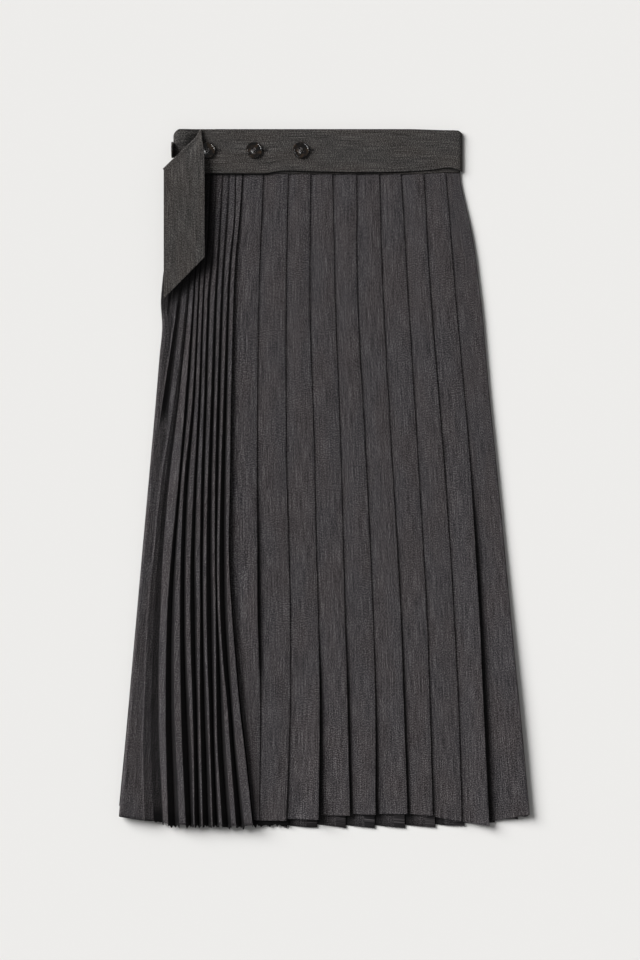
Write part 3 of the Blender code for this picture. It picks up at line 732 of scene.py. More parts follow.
pleats = {
    "wall": 0.6,
    "rows": 160,
    "layer": 0.7,  # from one layer of a pleat to the next
    "underlap": 9.0,
    "underlapShare": 0.45,
    "clear": 1.2,
    "faceShare": 0.75,  # how much of a face's hem lies left of its underlap
    "innerLift": 0.2,  # how far the inner fold follows a lifted one
    "seamSetback": 1.1,
    "liftSpan": 22.0,  # width over which a face rises to a lifted fold
    "drops": [52, 196, 369, 484, 564, 656, 785],
    "folds": [  # the x of each fold at each drop, then the hem's drop across its face
        (-70.3, -76.0, -77.8, -77.5, -76.9, -73.9, -75.3, 793.5, 794.0),
        (-42.2, -44.5, -44.3, -41.3, -39.7, -39.8, -43.9, 794.4, 794.8),
        (-16.1, -17.3, -12.1, -9.7, -7.3, -5.8, -6.9, 792.6, 793.2),
        (8.9, 12.0, 18.2, 21.3, 23.4, 26.1, 28.9, 788.3, 788.6),
        (36.7, 37.5, 46.7, 52.3, 55.4, 58.1, 58.3, 786.6, 787.8),
        (62.6, 67.1, 76.4, 83.2, 87.5, 90.6, 95.0, 786.6, 787.0),
        (87.6, 95.8, 106.3, 113.1, 117.4, 120.5, 124.1, 786.6, 788.9),
        (113.7, 121.8, 135.9, 144.1, 148.8, 153.5, 157.4, 790.0, 795.4),
        (139.0, 150.4, 166.0, 173.5, 178.3, 182.5, 189.0, 795.7, 800.4),
    ],
    "lift": [  # how far each fold stands off the cloth at each drop
        (0.0, -0.1, 0.3, 2.0, 3.4, 0.3, 0.0),
        (-0.2, -0.1, 0.0, 0.1, 0.0, 0.0, 0.8),
        (-0.1, 0.0, -0.1, 0.0, 0.1, 2.6, 6.2),
        (-0.2, -0.2, -0.2, 0.0, 0.4, 1.7, 3.0),
        (-0.1, 0.0, 0.0, 0.0, 0.0, 0.9, 3.0),
        (-0.1, -0.2, -0.1, 0.4, 0.6, 1.5, 2.2),
        (-0.2, -0.1, 0.0, 0.1, 0.3, 0.5, 1.3),
        (-0.2, 0.2, 0.3, 0.2, 0.2, 0.2, 0.6),
        (-0.3, -0.1, 0.3, 1.9, 2.3, 2.7, 2.9),
    ],
    "lastHem": (795.8, 787.8),
    "lastSink": [0.0, 0.0, -0.2, -1.2, -1.5, -1.7, -1.7],  # last face, beside its fold
    "crown": [-0.2, -0.5, 0.2, 0.9, 1.9, 3.2, 3.6],  # last face, along the right side
    "rollWidth": 1.0,
    "footShade": 0.8,  # painted shadow beside a lifted fold, where the next face comes out from under it
    "footShadeLift": 2.4,
    "footFade": [  # share of the face's width, then how much of that shade is left
        (0.0, 1.0),
        (0.06, 0.9),
        (0.12, 0.6),
        (0.2, 0.15),
        (0.3, 0.0),
        (0.5, 0.0),
        (0.75, 0.0),
        (0.97, 0.0),
        (1.0, 0.0),
    ],
    "lastFaceShade": [0.0, 0.0, 0.0, 0.0, 0.0, 0.02, 0.08],  # painted shade of the last face's middle
    "hemRidge": 0.22,
    "hemTurn": 4.0,  # depth of the turned and stitched hem
    "waver": (0.35, 24.0, 110.0, 7.0),
}


def halfTurn(x, z, side, layer):
    points = []
    steps = 6
    for step in range(steps + 1):
        angle = math.pi * (0.5 - step / steps)
        points.append((x + side * layer / 2 * math.cos(angle), z + layer / 2 * math.sin(angle)))
    return points


def knifePleats(start, folds, hems, lifts):
    # (x, height over the lowest layer, hem drop, shade) along a run of knife pleats
    layer = pleats["layer"]
    share = pleats["faceShare"]
    top = 2 * layer
    path = []
    left = start
    shade = 0.0
    for number, (fold, hem, lift) in enumerate(zip(folds, hems, lifts)):
        under = min(pleats["underlap"], pleats["underlapShare"] * (fold - left))
        foot = left + pleats["clear"]
        head = fold - under - pleats["clear"]

        def lifted(x):
            return lift * smooth((x - fold + pleats["liftSpan"]) / pleats["liftSpan"])

        for t, dark in pleats["footFade"]:
            x = between(foot, head, t)
            low = between(*hem, share * t)
            path.append((x, top * smooth(t) + lifted(x), low, shade * dark))
        for t in (0.35, 0.7):
            x = between(head, fold, t)
            path.append((x, top + lifted(x), between(*hem, between(share, 1.0, t)), 0.0))
        nextHem = hems[number + 1][0]
        for x, z in halfTurn(fold - layer / 2, 1.5 * layer, 1, layer):
            path.append((x, z + lifted(x), hem[1], 0.0))
        # painted shadow beside this fold on the next face, growing with its lift
        shade = pleats["footShade"] * smooth(lift / pleats["footShadeLift"])
        x = fold - under / 2
        path.append((x, layer + lifted(x), between(hem[1], nextHem, 0.5), shade))
        for x, z in halfTurn(fold - under + layer / 2, 0.5 * layer, -1, layer):
            path.append((x, z + pleats["innerLift"] * lifted(x), nextHem, shade))
        left = fold
    return path


def frontPath(drop):
    start = ribEdges(drop)[-1][0] - ribs["overhang"] + pleats["seamSetback"] - pleats["clear"]
    drops = pleats["drops"]
    folds = [curveThrough(drops, row[:7], drop) for row in pleats["folds"]]
    lifts = [curveThrough(drops, row, drop) for row in pleats["lift"]]
    hems = [row[7:] for row in pleats["folds"]] + [pleats["lastHem"]]
    path = knifePleats(start, folds, hems, lifts)
    side = outlineAt("right", drop)
    left = folds[-1] + pleats["clear"]
    hem = pleats["lastHem"]
    sink = curveThrough(drops, pleats["lastSink"], drop)
    crown = curveThrough(drops, pleats["crown"], drop)
    rolledX = side - pleats["rollWidth"]
    foot = path[-1][3]
    dim = curveThrough(drops, pleats["lastFaceShade"], drop)
    for t, dark in pleats["footFade"]:
        z = between(sink, crown, smooth(1.15 * t - 0.1))
        # painted shadow beside the last fold, and painted shade on the face's middle
        shade = max(foot * dark, dim * smooth(4 * t) * smooth(3 - 3 * t))
        path.append((between(left, rolledX, t), z, between(*hem, t), shade))
    down = layout["seamZRight"] + layout["gap"] / 2 - layout["frontBase"]
    roll = quarterRoll(side - pleats["wall"] / 2, down, rolledX, crown, 7)
    path += [(x, z, hem[1], 0.0) for x, z in reversed(roll)]
    base = layout["frontBase"] - outlineAt("sunk", drop)
    return [(x, base + z, hem, shade) for x, z, hem, shade in path]


def frontSection(drop, share):
    turn = pleats["hemTurn"] / panelLength
    ridge = pleats["hemRidge"] * smooth((share - 1 + turn) / (0.25 * turn))
    section = []
    for x, z, hem, shade in frontPath(drop):
        z += waver(x, drop, *pleats["waver"]) * smooth(5 * share) + ridge
        section.append((x, z, hem, shade))
    return section


def frontShares():
    # rows lie closer together under the belt's edge and at the turned hem
    count = pleats["rows"]
    turn = pleats["hemTurn"] / panelLength
    shares = [down / panelLength for down in (0.0, 0.8, 1.6, 2.6)]
    shares += [i / (count - 1) for i in range(1, count)]
    shares += [1 - turn * k for k in (0.15, 0.8, 0.92, 1.0, 1.08, 1.3)]
    return sorted(set(shares))


def makePanel(name, shares, sectionAt, wall, rowByRow=False):
    # a folded section at each share of the way from the seam to the hem
    rows = []
    shades = []
    for share in shares:
        rows.append([])
        drop = between(layout["seamDropRight"], layout["nominalHem"], share)
        for x, z, hem, shade in sectionAt(drop, share):
            below = between(frontSeam(x) + layout["gap"], hem, share)
            rows[-1].append(placeAt(x, below, z))
            shades.append(max(shade, beltShade(x, below), tailShade(x, below)))
    return clothPiece(name, rows, wall, suitingCloth, shades, rowByRow)


def makeAccordion():
    count = ribs["rows"]
    shares = [i / (count - 1) for i in range(count)]
    piece = makePanel("accordion_pleats", shares, ribSection, ribs["wall"], True)
    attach(piece, "root")
    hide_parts("accordion_panel")


def makeFront():
    piece = makePanel("wide_pleats", frontShares(), frontSection, pleats["wall"])
    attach(piece, "root")
    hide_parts("front_panel")


class Number:
    # a number in a node tree, so that sums on it read as plain arithmetic
    def __init__(self, tree, socket):
        self.tree = tree
        self.socket = socket

    def to(self, operation, *others):
        node = addNode(self.tree, "ShaderNodeMath", operation=operation)
        for place, term in enumerate((self, *others)):
            if isinstance(term, Number):
                self.tree.links.new(term.socket, node.inputs[place])
            else:
                node.inputs[place].default_value = term
        return Number(self.tree, node.outputs[0])

    def __add__(self, other):
        return self.to("ADD", other)

    def __sub__(self, other):
        return self.to("SUBTRACT", other)

    def __rsub__(self, other):
        return self.to("MULTIPLY_ADD", -1.0, other)

    def __mul__(self, other):
        return self.to("MULTIPLY", other)

    def __truediv__(self, other):
        return self.to("DIVIDE", other)


def newField(tree, kind, links=None, values=None, output=0, **settings):
    # one output of a new node, ready for sums
    return Number(tree, addNode(tree, kind, values, links, **settings).outputs[output])


def newTree(name, **titles):
    # the titles of its inputs are given by kind; the first input is what it starts from
    tree = bpy.data.node_groups.new(name, "GeometryNodeTree")
    tree.interface.new_socket("Geometry", in_out="INPUT", socket_type="NodeSocketGeometry")
    for kind, group in titles.items():
        for title in group:
            tree.interface.new_socket(title, in_out="INPUT", socket_type="NodeSocket" + kind)
    tree.interface.new_socket("Geometry", in_out="OUTPUT", socket_type="NodeSocketGeometry")
    outputs = addNode(tree, "NodeGroupInput").outputs
    given = {socket.name: Number(tree, socket) for socket in outputs}
    return tree, given, addNode(tree, "NodeGroupOutput").inputs[0]


def finishTree(tree, geometry, material, result):
    real = addNode(tree, "GeometryNodeRealizeInstances", links={"Geometry": geometry})
    links = {"Geometry": real.outputs[0], "Material": material}
    tree.links.new(addNode(tree, "GeometryNodeSetMaterial", links=links).outputs[0], result)


def runTree(piece, tree, values):
    # sets the inputs by identifier, keeps the result as a plain mesh and drops the modifier
    modifier = piece.modifiers.new(tree.name, "NODES")
    modifier.node_group = tree
    for item in tree.interface.items_tree:
        if item.in_out == "INPUT" and item.name in values:
            modifier[item.identifier] = values[item.name]
    mesh = finalMesh(piece)
    piece.modifiers.clear()
    piece.data = mesh


def lineObject(name, lines):
    # lines of joined points for a tree to follow
    mesh = bpy.data.meshes.new(name)
    points = []
    edges = []
    for line in lines:
        first = len(points)
        points += line
        edges += [(first + i, first + i + 1) for i in range(len(line) - 1)]
    mesh.from_pydata(points, edges, [])
    return newObject(name, mesh)


back = {
    "wall": 0.6,
    "rows": 60,
    "low": 0.5,
    "profile": [  # one pleat: share of its width, then mm past it, height, hem share, painted shade
        (0.0, 1.2, 1.4, 0.77, 0.0),
        (0.08, 1.1, 1.38, 0.71, 0.0),
        (0.18, 0.9, 1.3, 0.63, 0.0),
        (0.3, 0.6, 1.05, 0.54, 0.15),
        (0.42, 0.3, 0.7, 0.45, 0.45),
        (0.55, 0.0, 0.3, 0.35, 0.75),
        (0.7, -1.2, 0.02, 0.23, 0.95),
        (0.86, 0.0, 0.0, 0.11, 1.0),
        (1.0, -0.35, 0.0, 0.0, 1.0),
        (1.0, -0.1, 0.1, 0.0, 1.0),
        (1.0, 0.0, 0.35, 0.0, 1.0),
        (1.0, -0.1, 0.6, 0.0, 1.0),
        (1.0, -0.35, 0.7, 0.0, 1.0),
        (0.85, 0.0, 0.7, 0.5, 1.0),
        (0.7, 0.35, 0.7, 1.0, 1.0),
        (0.7, 0.1, 0.8, 1.0, 0.8),
        (0.7, 0.0, 1.05, 1.0, 0.3),
        (0.7, 0.1, 1.3, 1.0, 0.0),
        (0.7, 0.35, 1.4, 1.0, 0.0),
    ],
    "pitch": 33,  # a whole pleat's usual width, which its threads are laid out by
    "numbers": {
        "Whole pleats": 13,
        "Face points": 9,  # of the last pleat, which the side cuts short before its fold
        "First share": 0.36,  # the pleats at the sides, as shares of a whole one
        "Last share": 0.21,
        "Side points": 6,
        "Seed": 4,
    },
    "lengths": {
        "Hem drop": 798.6,
        "Hem rise": 13.0,
        "Half width": 236.0,
        "Hem slant": 4.4,
        "Hem uneven": 0.7,
        "Hem lift": 8.5,  # the hem is pulled up on the pleats beyond this x
        "Lift from": -50.0,
        "Fold uneven": 1.6,
        "Side roll": 4.0,
    },
}


def evenPleats():
    # Lays one pleat's profile side by side from one side line to the other. Each column
    # of a grid takes a profile point, and each row takes its two sides from a line.
    counts = ["Rows", "Profile points", "Face points", "Whole pleats", "Side points", "Seed"]
    sizes = ["First share", "Last share", "Waist", "Seam drop left", "Seam drop right"]
    sizes += ["Seam half", "Seam turn", "Hem drop", "Hem rise", "Half width", "Hem slant"]
    sizes += ["Hem uneven", "Hem lift", "Lift from", "Fold uneven", "Side roll"]
    sizes += ["Start height", "End height", "Pleat cloth", "Length"]
    kinds = {"Object": ["Sides"], "Int": counts, "Float": sizes, "Material": ["Cloth"]}
    tree, given, result = newTree("even knife pleats", **kinds)
    rows, profilePoints, sidePoints = given["Rows"], given["Profile points"], given["Side points"]
    wholePleats, firstShare = given["Whole pleats"], given["First share"]

    def sampled(geometry, value, index, kind):
        links = {"Geometry": geometry, "Value": value, "Index": index}
        return newField(tree, "GeometryNodeSampleIndex", links, data_type=kind)

    def named(title):
        kind = "GeometryNodeInputNamedAttribute"
        value = newField(tree, kind, None, {"Name": title}, "Attribute", data_type="FLOAT")
        return sampled(given["Geometry"], value, point, "FLOAT")

    def uneven(size, number, offset):
        links = {"ID": number, "Seed": given["Seed"] + offset}
        kind = "FunctionNodeRandomValue"
        return newField(tree, kind, links, {2: -1.0, 3: 1.0}, 1, data_type="FLOAT") * size

    def parts(vector):
        outputs = addNode(tree, "ShaderNodeSeparateXYZ", links={"Vector": vector}).outputs
        return [Number(tree, output) for output in outputs]

    def stored(geometry, title, value, kind, domain):
        links = {"Geometry": geometry, "Value": value}
        kinds = {"data_type": kind, "domain": domain}
        return newField(tree, "GeometryNodeStoreNamedAttribute", links, {"Name": title}, **kinds)

    pleated = (wholePleats + 1) * profilePoints + given["Face points"]
    links = {"Vertices X": pleated + sidePoints * 2, "Vertices Y": rows}
    grid = newField(tree, "GeometryNodeMeshGrid", links, output="Mesh")
    index = newField(tree, "GeometryNodeInputIndex")
    place = newField(tree, "GeometryNodeInputPosition")

    column = ((index + 0.5) / rows).to("FLOOR")
    row = index - column * rows
    inner = column - sidePoints
    startTurn = (inner * -1).to("MAXIMUM", 0) / sidePoints
    endTurn = (inner - pleated + 1).to("MAXIMUM", 0) / sidePoints
    inner = inner.to("MAXIMUM", 0).to("MINIMUM", pleated - 1)
    pleat = ((inner + 0.5) / profilePoints).to("FLOOR")
    point = inner - pleat * profilePoints

    share, extra, height = parts(sampled(given["Geometry"], place, point, "FLOAT_VECTOR"))
    links = {"Object": given["Sides"]}
    sides = newField(tree, "GeometryNodeObjectInfo", links, output="Geometry")
    start, end, down = parts(sampled(sides, place, row, "FLOAT_VECTOR"))
    way = (end - start).to("SIGN")
    roll = way * given["Side roll"]
    start = start + roll
    total = wholePleats + firstShare + given["Last share"]
    pitch = (end - roll - start) / total

    follows = pleat.to("GREATER_THAN", 0.5)
    leads = pleat.to("LESS_THAN", wholePleats + 0.5)
    size = given["Fold uneven"] * down
    opens = (pleat - 1 + firstShare) * follows * pitch + uneven(size, pleat, 0) * follows
    closes = (pleat + firstShare).to("MINIMUM", total) * pitch + uneven(size, pleat + 1, 0) * leads
    x = start + (opens + (closes - opens) * share) + way * extra
    x = x + roll * ((endTurn - startTurn) * (math.pi / 2)).to("SINE")

    z = height
    for turn, side in ((startTurn, "Start height"), (endTurn, "End height")):
        z = z + (given[side] - z) * (1 - (turn * (math.pi / 2)).to("COSINE"))

    links = {"Value": x, "To Min": given["Seam drop left"], "To Max": given["Seam drop right"]}
    links |= {"From Min": given["Seam turn"] * -1, "From Max": given["Seam turn"]}
    seam = newField(tree, "ShaderNodeMapRange", links, interpolation_type="SMOOTHSTEP")
    top = seam + given["Seam half"]
    bow = (x / given["Half width"]).to("ABSOLUTE").to("POWER", 4)
    hem = given["Hem drop"] - given["Hem rise"] * bow
    hem = hem + given["Hem slant"] * named("hemShare") + uneven(given["Hem uneven"], pleat, 7)
    beside = (start + (opens + closes) * 0.5).to("LESS_THAN", given["Lift from"])
    hem = hem - given["Hem lift"] * beside
    y = given["Waist"] - (top + (hem - top) * down)
    moved = newField(tree, "ShaderNodeCombineXYZ", {"X": x, "Y": y, "Z": z})

    links = {"X": pleat * given["Pleat cloth"] + named("cloth"), "Y": down * given["Length"]}
    threads = newField(tree, "ShaderNodeCombineXYZ", links)
    kinds = {"data_type": "FLOAT_VECTOR", "domain": "POINT"}
    threads = newField(tree, "GeometryNodeFieldOnDomain", {"Value": threads}, **kinds)
    shaded = stored(grid, "foldDepth", named("shade"), "FLOAT", "POINT")
    mapped = stored(shaded, "UVMap", threads, "FLOAT2", "CORNER")
    links = {"Geometry": mapped, "Position": moved}
    laid = newField(tree, "GeometryNodeSetPosition", links)
    finishTree(tree, laid, given["Cloth"], result)
    return tree


def sideLine():
    # for each row: where it starts at the right, where it ends at the left, and how far down
    edge = back["wall"] / 2
    line = []
    for i in range(back["rows"]):
        share = i / (back["rows"] - 1)
        drop = between(layout["seamDropRight"], layout["nominalHem"], share)
        right, left = outlineAt("right", drop) - edge, outlineAt("left", drop) + edge
        line.append((right * mm, left * mm, share))
    return line


def makeBack():
    points = [(share, extra * mm, (back["low"] + z) * mm) for share, extra, z, _, _ in back["profile"]]
    piece = lineObject("back_pleats", [points])
    cloth = [0.0]
    for before, after in zip(points, points[1:]):
        width = (after[0] - before[0]) * back["pitch"] * mm + after[1] - before[1]
        cloth.append(cloth[-1] + math.hypot(width, after[2] - before[2]))
    shares, shades = ([row[i] for row in back["profile"]] for i in (3, 4))
    for title, values in (("hemShare", shares), ("shade", shades), ("cloth", cloth)):
        stored = piece.data.attributes.new(title, "FLOAT", "POINT")
        stored.data.foreach_set("value", values)
    sides = lineObject("back sides", [sideLine()])
    values = {"Sides": sides, "Profile points": len(points), "Pleat cloth": cloth[-1]}
    values |= {"Cloth": suitingCloth, "Length": panelLength * mm}
    values |= {"Rows": back["rows"]} | back["numbers"]
    lengths = {
        "Waist": layout["waistY"],
        "Seam drop left": layout["seamDropLeft"],
        "Seam drop right": layout["seamDropRight"],
        "Seam half": layout["gap"],
        "Seam turn": layout["seamTurn"],
        "Start height": layout["seamZRight"] - layout["gap"] / 2,
        "End height": layout["seamZLeft"] - layout["gap"] / 2,
    }
    lengths |= back["lengths"]
    values |= {title: length * mm for title, length in lengths.items()}
    runTree(piece, evenPleats(), values)
    bpy.data.objects.remove(sides)
    addWall(piece, back["wall"])
    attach(piece, "root")
    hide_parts("back_panel")


makeBack()
makeAccordion()
makeFront()
print("pleated panels made")


def leftEnd(seamZ, level):
    left = band["left"]
    roll = quarterRoll(left + band["wall"] / 2, seamZ, left + band["leftRoll"], level, 7)
    columns = []
    for number, (x, z) in enumerate(roll):
        columns.append((x, z, band["corner"] * (1 - number / 7) ** band["cornerCurve"]))
    return columns


def rightEnd(seamZ, level):
    right = band["right"]
    roll = quarterRoll(right - band["wall"] / 2, seamZ, right - band["rightRoll"], level, 6)
    return [(x, z, rightDip(x)) for x, z in roll]


def frontBandColumns():
    # (x, height, drop of the upper edge) from the left side to the right
    seam = layout["gap"] / 2
    level = band["frontZ"]
    columns = leftEnd(layout["seamZLeft"] + seam, level + band["lift"])
    for step in range(15):
        x = between(band["left"] + band["leftRoll"], band["liftFrom"], step / 14)
        columns.append((x, level + bandLift(x), 0.0))
    columns += [(x, level - band["rightFall"] * sinkAt(x), rightDip(x)) for x in band["frontX"]]
    return columns + rightEnd(layout["seamZRight"] + seam, level - band["rightFall"])[::-1]


def backBandColumns():
    seam = layout["gap"] / 2
    columns = rightEnd(layout["seamZRight"] - seam, band["backZ"])
    columns += [(x, band["backZ"], rightDip(x)) for x in band["backX"]]
    return columns + leftEnd(layout["seamZLeft"] - seam, band["backZ"])[::-1]


def foldHollow(x, drop):
    # painted shade: the dark hollow of the band where the belt's fold stands off it
    upper, lower = Vector(belt["foldRight"]), Vector(belt["foldLeft"])
    along = (lower - upper).normalized()
    past = Vector((x, drop)) - upper
    beside = along.x * past.y - along.y * past.x
    near = 1 - smooth((abs(beside) - band["hollowFrom"]) / band["hollowWidth"])
    return band["hollowShade"] * near * smooth((band["hollowDrop"] - drop) / band["hollowFade"])


def bandShade(x, drop):
    return max(foldHollow(x, drop), beltShade(x, drop))


def makeBand(name, columns, node, seam, shadeAt):
    rows = []
    shades = []
    for x, z, top in columns:
        rows.append([])
        low = seam(x) - layout["gap"] / 2
        for share in band["shares"]:
            drop = between(top, low, share)
            rows[-1].append(placeAt(x, drop, z))
            shades.append(shadeAt(x, drop))
    piece = clothPiece(name, rows, band["wall"], bandCloth, shades)
    roundEdges(piece)
    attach(piece, "root")
    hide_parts(node)


def roundEdges(piece):
    bevel = piece.modifiers.new("pressed edge", "BEVEL")
    bevel.width = 0.4 * mm
    bevel.segments = 3
    bevel.limit_method = "ANGLE"
    bevel.angle_limit = math.radians(50)


def beltHeight(x):
    climb = belt["lift"] * smooth((belt["liftFrom"] - x) / belt["liftSpan"])
    return belt["z"] + climb - belt["rightFall"] * sinkAt(x)


def foldCurve(share):
    peak = belt["bulgeShare"]
    return belt["foldBulge"] * min(smooth(share / peak), (1 - share) / (1 - peak))


def beltSection(upper, lower, height, bend=0.0):
    row = []
    steps = 20
    for step in range(steps + 1):
        share = step / steps
        x = between(upper[0], lower[0], share) + bend * foldCurve(share)
        drop = between(upper[1], lower[1], share)
        row.append(placeAt(x, drop, height(x, share)))
    return row


def beltRows():
    rows = []
    half = belt["wall"] / 2
    right = belt["right"] - half
    inner = right - belt["rightRoll"]
    roll = quarterRoll(right, belt["rightLow"], inner, beltHeight(inner), 9)
    for x, z in roll:
        rows.append(beltSection((x, rightDip(x)), (x, beltEdge(x)), lambda *_: z))
    steps = 60
    lastX = belt["flatTo"]
    for step in range(steps + 1):
        x = between(inner, lastX, step / steps)
        section = beltSection((x, rightDip(x)), (x, beltEdge(x)), lambda x, _: beltHeight(x))
        rows.append(section)
    low = beltEdge(lastX)
    foldRight, foldLeft = belt["foldRight"], belt["foldLeft"]
    for step in range(1, 12):
        share = step / 12
        upper = (between(lastX, foldRight[0], share), between(0.0, foldRight[1], share))
        lower = (between(lastX, foldLeft[0], share), between(low, foldLeft[1], share))
        ease = belt["foldRise"] * smooth(2 * share - 1)
        rows.append(beltSection(upper, lower, lambda x, _: beltHeight(x) + ease, share))
    along = Vector(foldLeft) - Vector(foldRight)
    outward = Vector((-along.y, along.x)).normalized()
    radius = belt["foldHeight"] / 2
    for step in range(9):
        angle = math.pi * (step / 8 - 0.5)
        shift = outward * (radius * math.cos(angle))
        rise = radius * (1 + math.sin(angle)) + belt["foldRise"]
        upper = Vector(foldRight) + shift
        lower = Vector(foldLeft) + shift
        rows.append(beltSection(upper, lower, lambda x, _: beltHeight(x - shift.x) + rise, 1.0))
    for step in range(1, 49):
        rows.append(tailSection(step / 48))
    return rows


def tailSection(share):
    foldRight, foldLeft = belt["foldRight"], belt["foldLeft"]
    rightX = between(foldRight[0], belt["tailRightX"], smooth(share / belt["tailTurn"]))
    leftX = between(foldLeft[0], belt["tailLeftEndX"], share**3)
    upper = (rightX, foldRight[1] + belt["tailRightLength"] * share)
    lower = (leftX, foldLeft[1] + belt["tailLeftLength"] * share)
    rightZ = curveThrough(belt["tailShare"], belt["tailRight"], share)
    leftZ = curveThrough(belt["tailShare"], belt["tailLeft"], share)
    settled = smooth(share / belt["settle"])

    def height(x, across):
        folded = beltHeight(x) + belt["foldRise"] + belt["foldHeight"]
        return between(folded, between(rightZ, leftZ, across), settled)

    return beltSection(upper, lower, height, 1 - smooth(share / belt["tailUnbend"]))


def makeBelt():
    piece = clothPiece("wrap_belt_and_tail", beltRows(), belt["wall"], bandCloth)
    roundEdges(piece)
    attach(piece, "root")
    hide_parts("wrap_belt")


columns = frontBandColumns()
makeBand("front_waistband", columns, "waistband_front", frontSeam, bandShade)
columns = backBandColumns()
makeBand("back_waistband", columns, "waistband_back", seamDrop, lambda x, drop: 0.0)
makeBelt()
print("band and belt made")

sewing = {
    "threadHex": "#5b5759",
    "radius": 0.2,
    "length": 2.2,
    "pitch": 3.3,
    "uneven": 0.25,
    "hemUp": 4.6,  # the hem's line of stitches above its edge
    "holeHex": "#232022",
    "holeLength": 22.0,
    "holeWidth": 1.5,
    "holePast": 5.4,  # how far a buttonhole reaches past its button
    "holeRadius": 0.24,
    "holeStitch": 1.5,
    "holePitch": 0.55,
    "holeEnd": 0.35,  # how far the end stitches stand out past the slit
    "seed": 11,
    "linePoints": 24,  # of the hem's line, on each face
    "lineStart": 0.8,
    "lineEnd": 0.4,
    "foldPoints": 17,  # of a front pleat's section, past its face
}


def stitching():
    # stitches spaced along every line of a path, lying along it or across it
    sizes = ["Pitch", "Stitch length", "Thread radius", "Uneven", "Across"]
    kinds = {"Float": sizes, "Int": ["Seed"], "Material": ["Thread"]}
    tree, given, result = newTree("stitches along a path", **kinds)
    curve = newField(tree, "GeometryNodeMeshToCurve", {"Mesh": given["Geometry"]})
    links = {"Curve": curve, "Length": given["Pitch"]}
    spaced = newField(tree, "GeometryNodeResampleCurve", links, mode="LENGTH")
    along = newField(tree, "GeometryNodeInputTangent")
    upwards = {1: (0.0, 0.0, 1.0)}
    links = {0: along}
    across = newField(tree, "ShaderNodeVectorMath", links, upwards, operation="CROSS_PRODUCT")
    links = {0: given["Across"], 4: along, 5: across}
    way = newField(tree, "ShaderNodeMix", links, output=1, data_type="VECTOR")
    turned = newField(tree, "FunctionNodeAlignRotationToVector", {"Vector": way}, axis="X")
    ball = {"Segments": 6, "Rings": 5, "Radius": 1.0}
    stitch = newField(tree, "GeometryNodeMeshUVSphere", None, ball)
    links = {2: 1 - given["Uneven"], "Seed": given["Seed"]}
    some = newField(tree, "FunctionNodeRandomValue", links, {3: 1.0}, 1, data_type="FLOAT")
    half = given["Stitch length"] * 0.5 * some
    links = {"X": half, "Y": given["Thread radius"], "Z": given["Thread radius"]}
    size = newField(tree, "ShaderNodeCombineXYZ", links)
    links = {"Points": spaced, "Instance": stitch, "Rotation": turned, "Scale": size}
    sewn = newField(tree, "GeometryNodeInstanceOnPoints", links)
    finishTree(tree, sewn, given["Thread"], result)
    return tree


def sewAlong(name, lines, length, radius, pitch, across, thread):
    piece = lineObject(name, lines)
    values = {
        "Pitch": pitch * mm,
        "Stitch length": length * mm,
        "Thread radius": radius * mm,
        "Uneven": sewing["uneven"],
        "Across": across,
        "Seed": sewing["seed"],
        "Thread": thread,
    }
    runTree(piece, stitchTree, values)
    piece.data.shade_smooth()
    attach(piece, "root")


def hemLines():
    # a line just above each visible front face, a little up from its hem
    share = 1 - sewing["hemUp"] / panelLength
    drop = between(layout["seamDropRight"], layout["nominalHem"], share)
    path = frontPath(drop)
    faces = len(pleats["footFade"])
    count = faces + sewing["foldPoints"]
    lines = []
    edge = path[0][0]
    for number in range(len(pleats["folds"]) + 1):
        pleat = path[number * count:(number + 1) * count]
        last = number == len(pleats["folds"])
        face = pleat[:faces] if last else pleat[:faces + 3]
        xs, zs, hems, _ = zip(*face)
        line = []
        first, final = max(edge + sewing["lineStart"], face[0][0]), face[-1][0] - sewing["lineEnd"]
        for step in range(sewing["linePoints"]):
            x = between(first, final, step / (sewing["linePoints"] - 1))
            z, hem = np.interp(x, xs, zs), np.interp(x, xs, hems)
            z += waver(x, drop, *pleats["waver"]) + (pleats["wall"] + pleats["hemRidge"]) / 2
            top = frontSeam(x) + layout["gap"]
            line.append(placeAt(x, between(top, hem, share), z))
        lines.append(line)
        edge = max(corner[0] for corner in pleat)
    return lines


def holeLines(x, y, z):
    # round both sides of a narrow slit
    right = x + sewing["holePast"]
    left = right - sewing["holeLength"]
    half = sewing["holeWidth"] / 2
    lines = []
    for side in (-half, half):
        lines.append([Vector((px * mm, (y + side) * mm, z * mm)) for px in (left, right)])
    ends = [(right, -half), (right + sewing["holeEnd"], 0.0), (right, half)]
    lines.append([Vector((px * mm, (y + py) * mm, z * mm)) for px, py in ends])
    return lines


stitchTree = stitching()

# Polished horn: near black with a soft brown depth, and a clear gloss from buffing
horn = {
    "darkHex": "#0c0a09",
    "lightHex": "#3a2c1e",
    "roughness": 0.13,
    "steps": 64,
    "hole": 1.7,
    "holeSpacing": 3.6,
    "section": [  # radius and height, from the middle of the dish out and round to the back
        (0.0, 1.7),
        (2.6, 1.73),
        (4.6, 1.82),
        (6.2, 1.97),
        (7.2, 2.15),
        (7.75, 2.38),
        (8.1, 2.62),
        (8.45, 2.72),
        (8.8, 2.68),
        (9.15, 2.42),
        (9.4, 1.95),
        (9.5, 1.4),
        (9.3, 0.8),
        (8.7, 0.35),
        (7.4, 0.05),
        (6.4, 0.0),
        (0.0, 0.0),
    ],
    "holeSides": 20,
    "turn": 20,  # degrees from one button's holes to the next one's
    "threadHex": "#565150",
    "threadRadius": 0.42,
    "threadSpread": 0.3,
    "threadLoop": [(0.0, 0.6), (0.1, 1.7), (0.5, 2.3)],  # in from a hole, and height
    "threadTop": 2.45,
}


def cloudedMaterial(name, values, cloud, stops):
    # its colour runs between the stops in small soft clouds
    material, tree, shader = newMaterial(name, values)
    place = addNode(tree, "ShaderNodeTexCoord").outputs["Object"]
    clouds = addNode(tree, "ShaderNodeTexNoise", cloud, {"Vector": place}).outputs["Fac"]
    tree.links.new(colourRamp(tree, clouds, stops), shader.inputs["Base Color"])
    return material


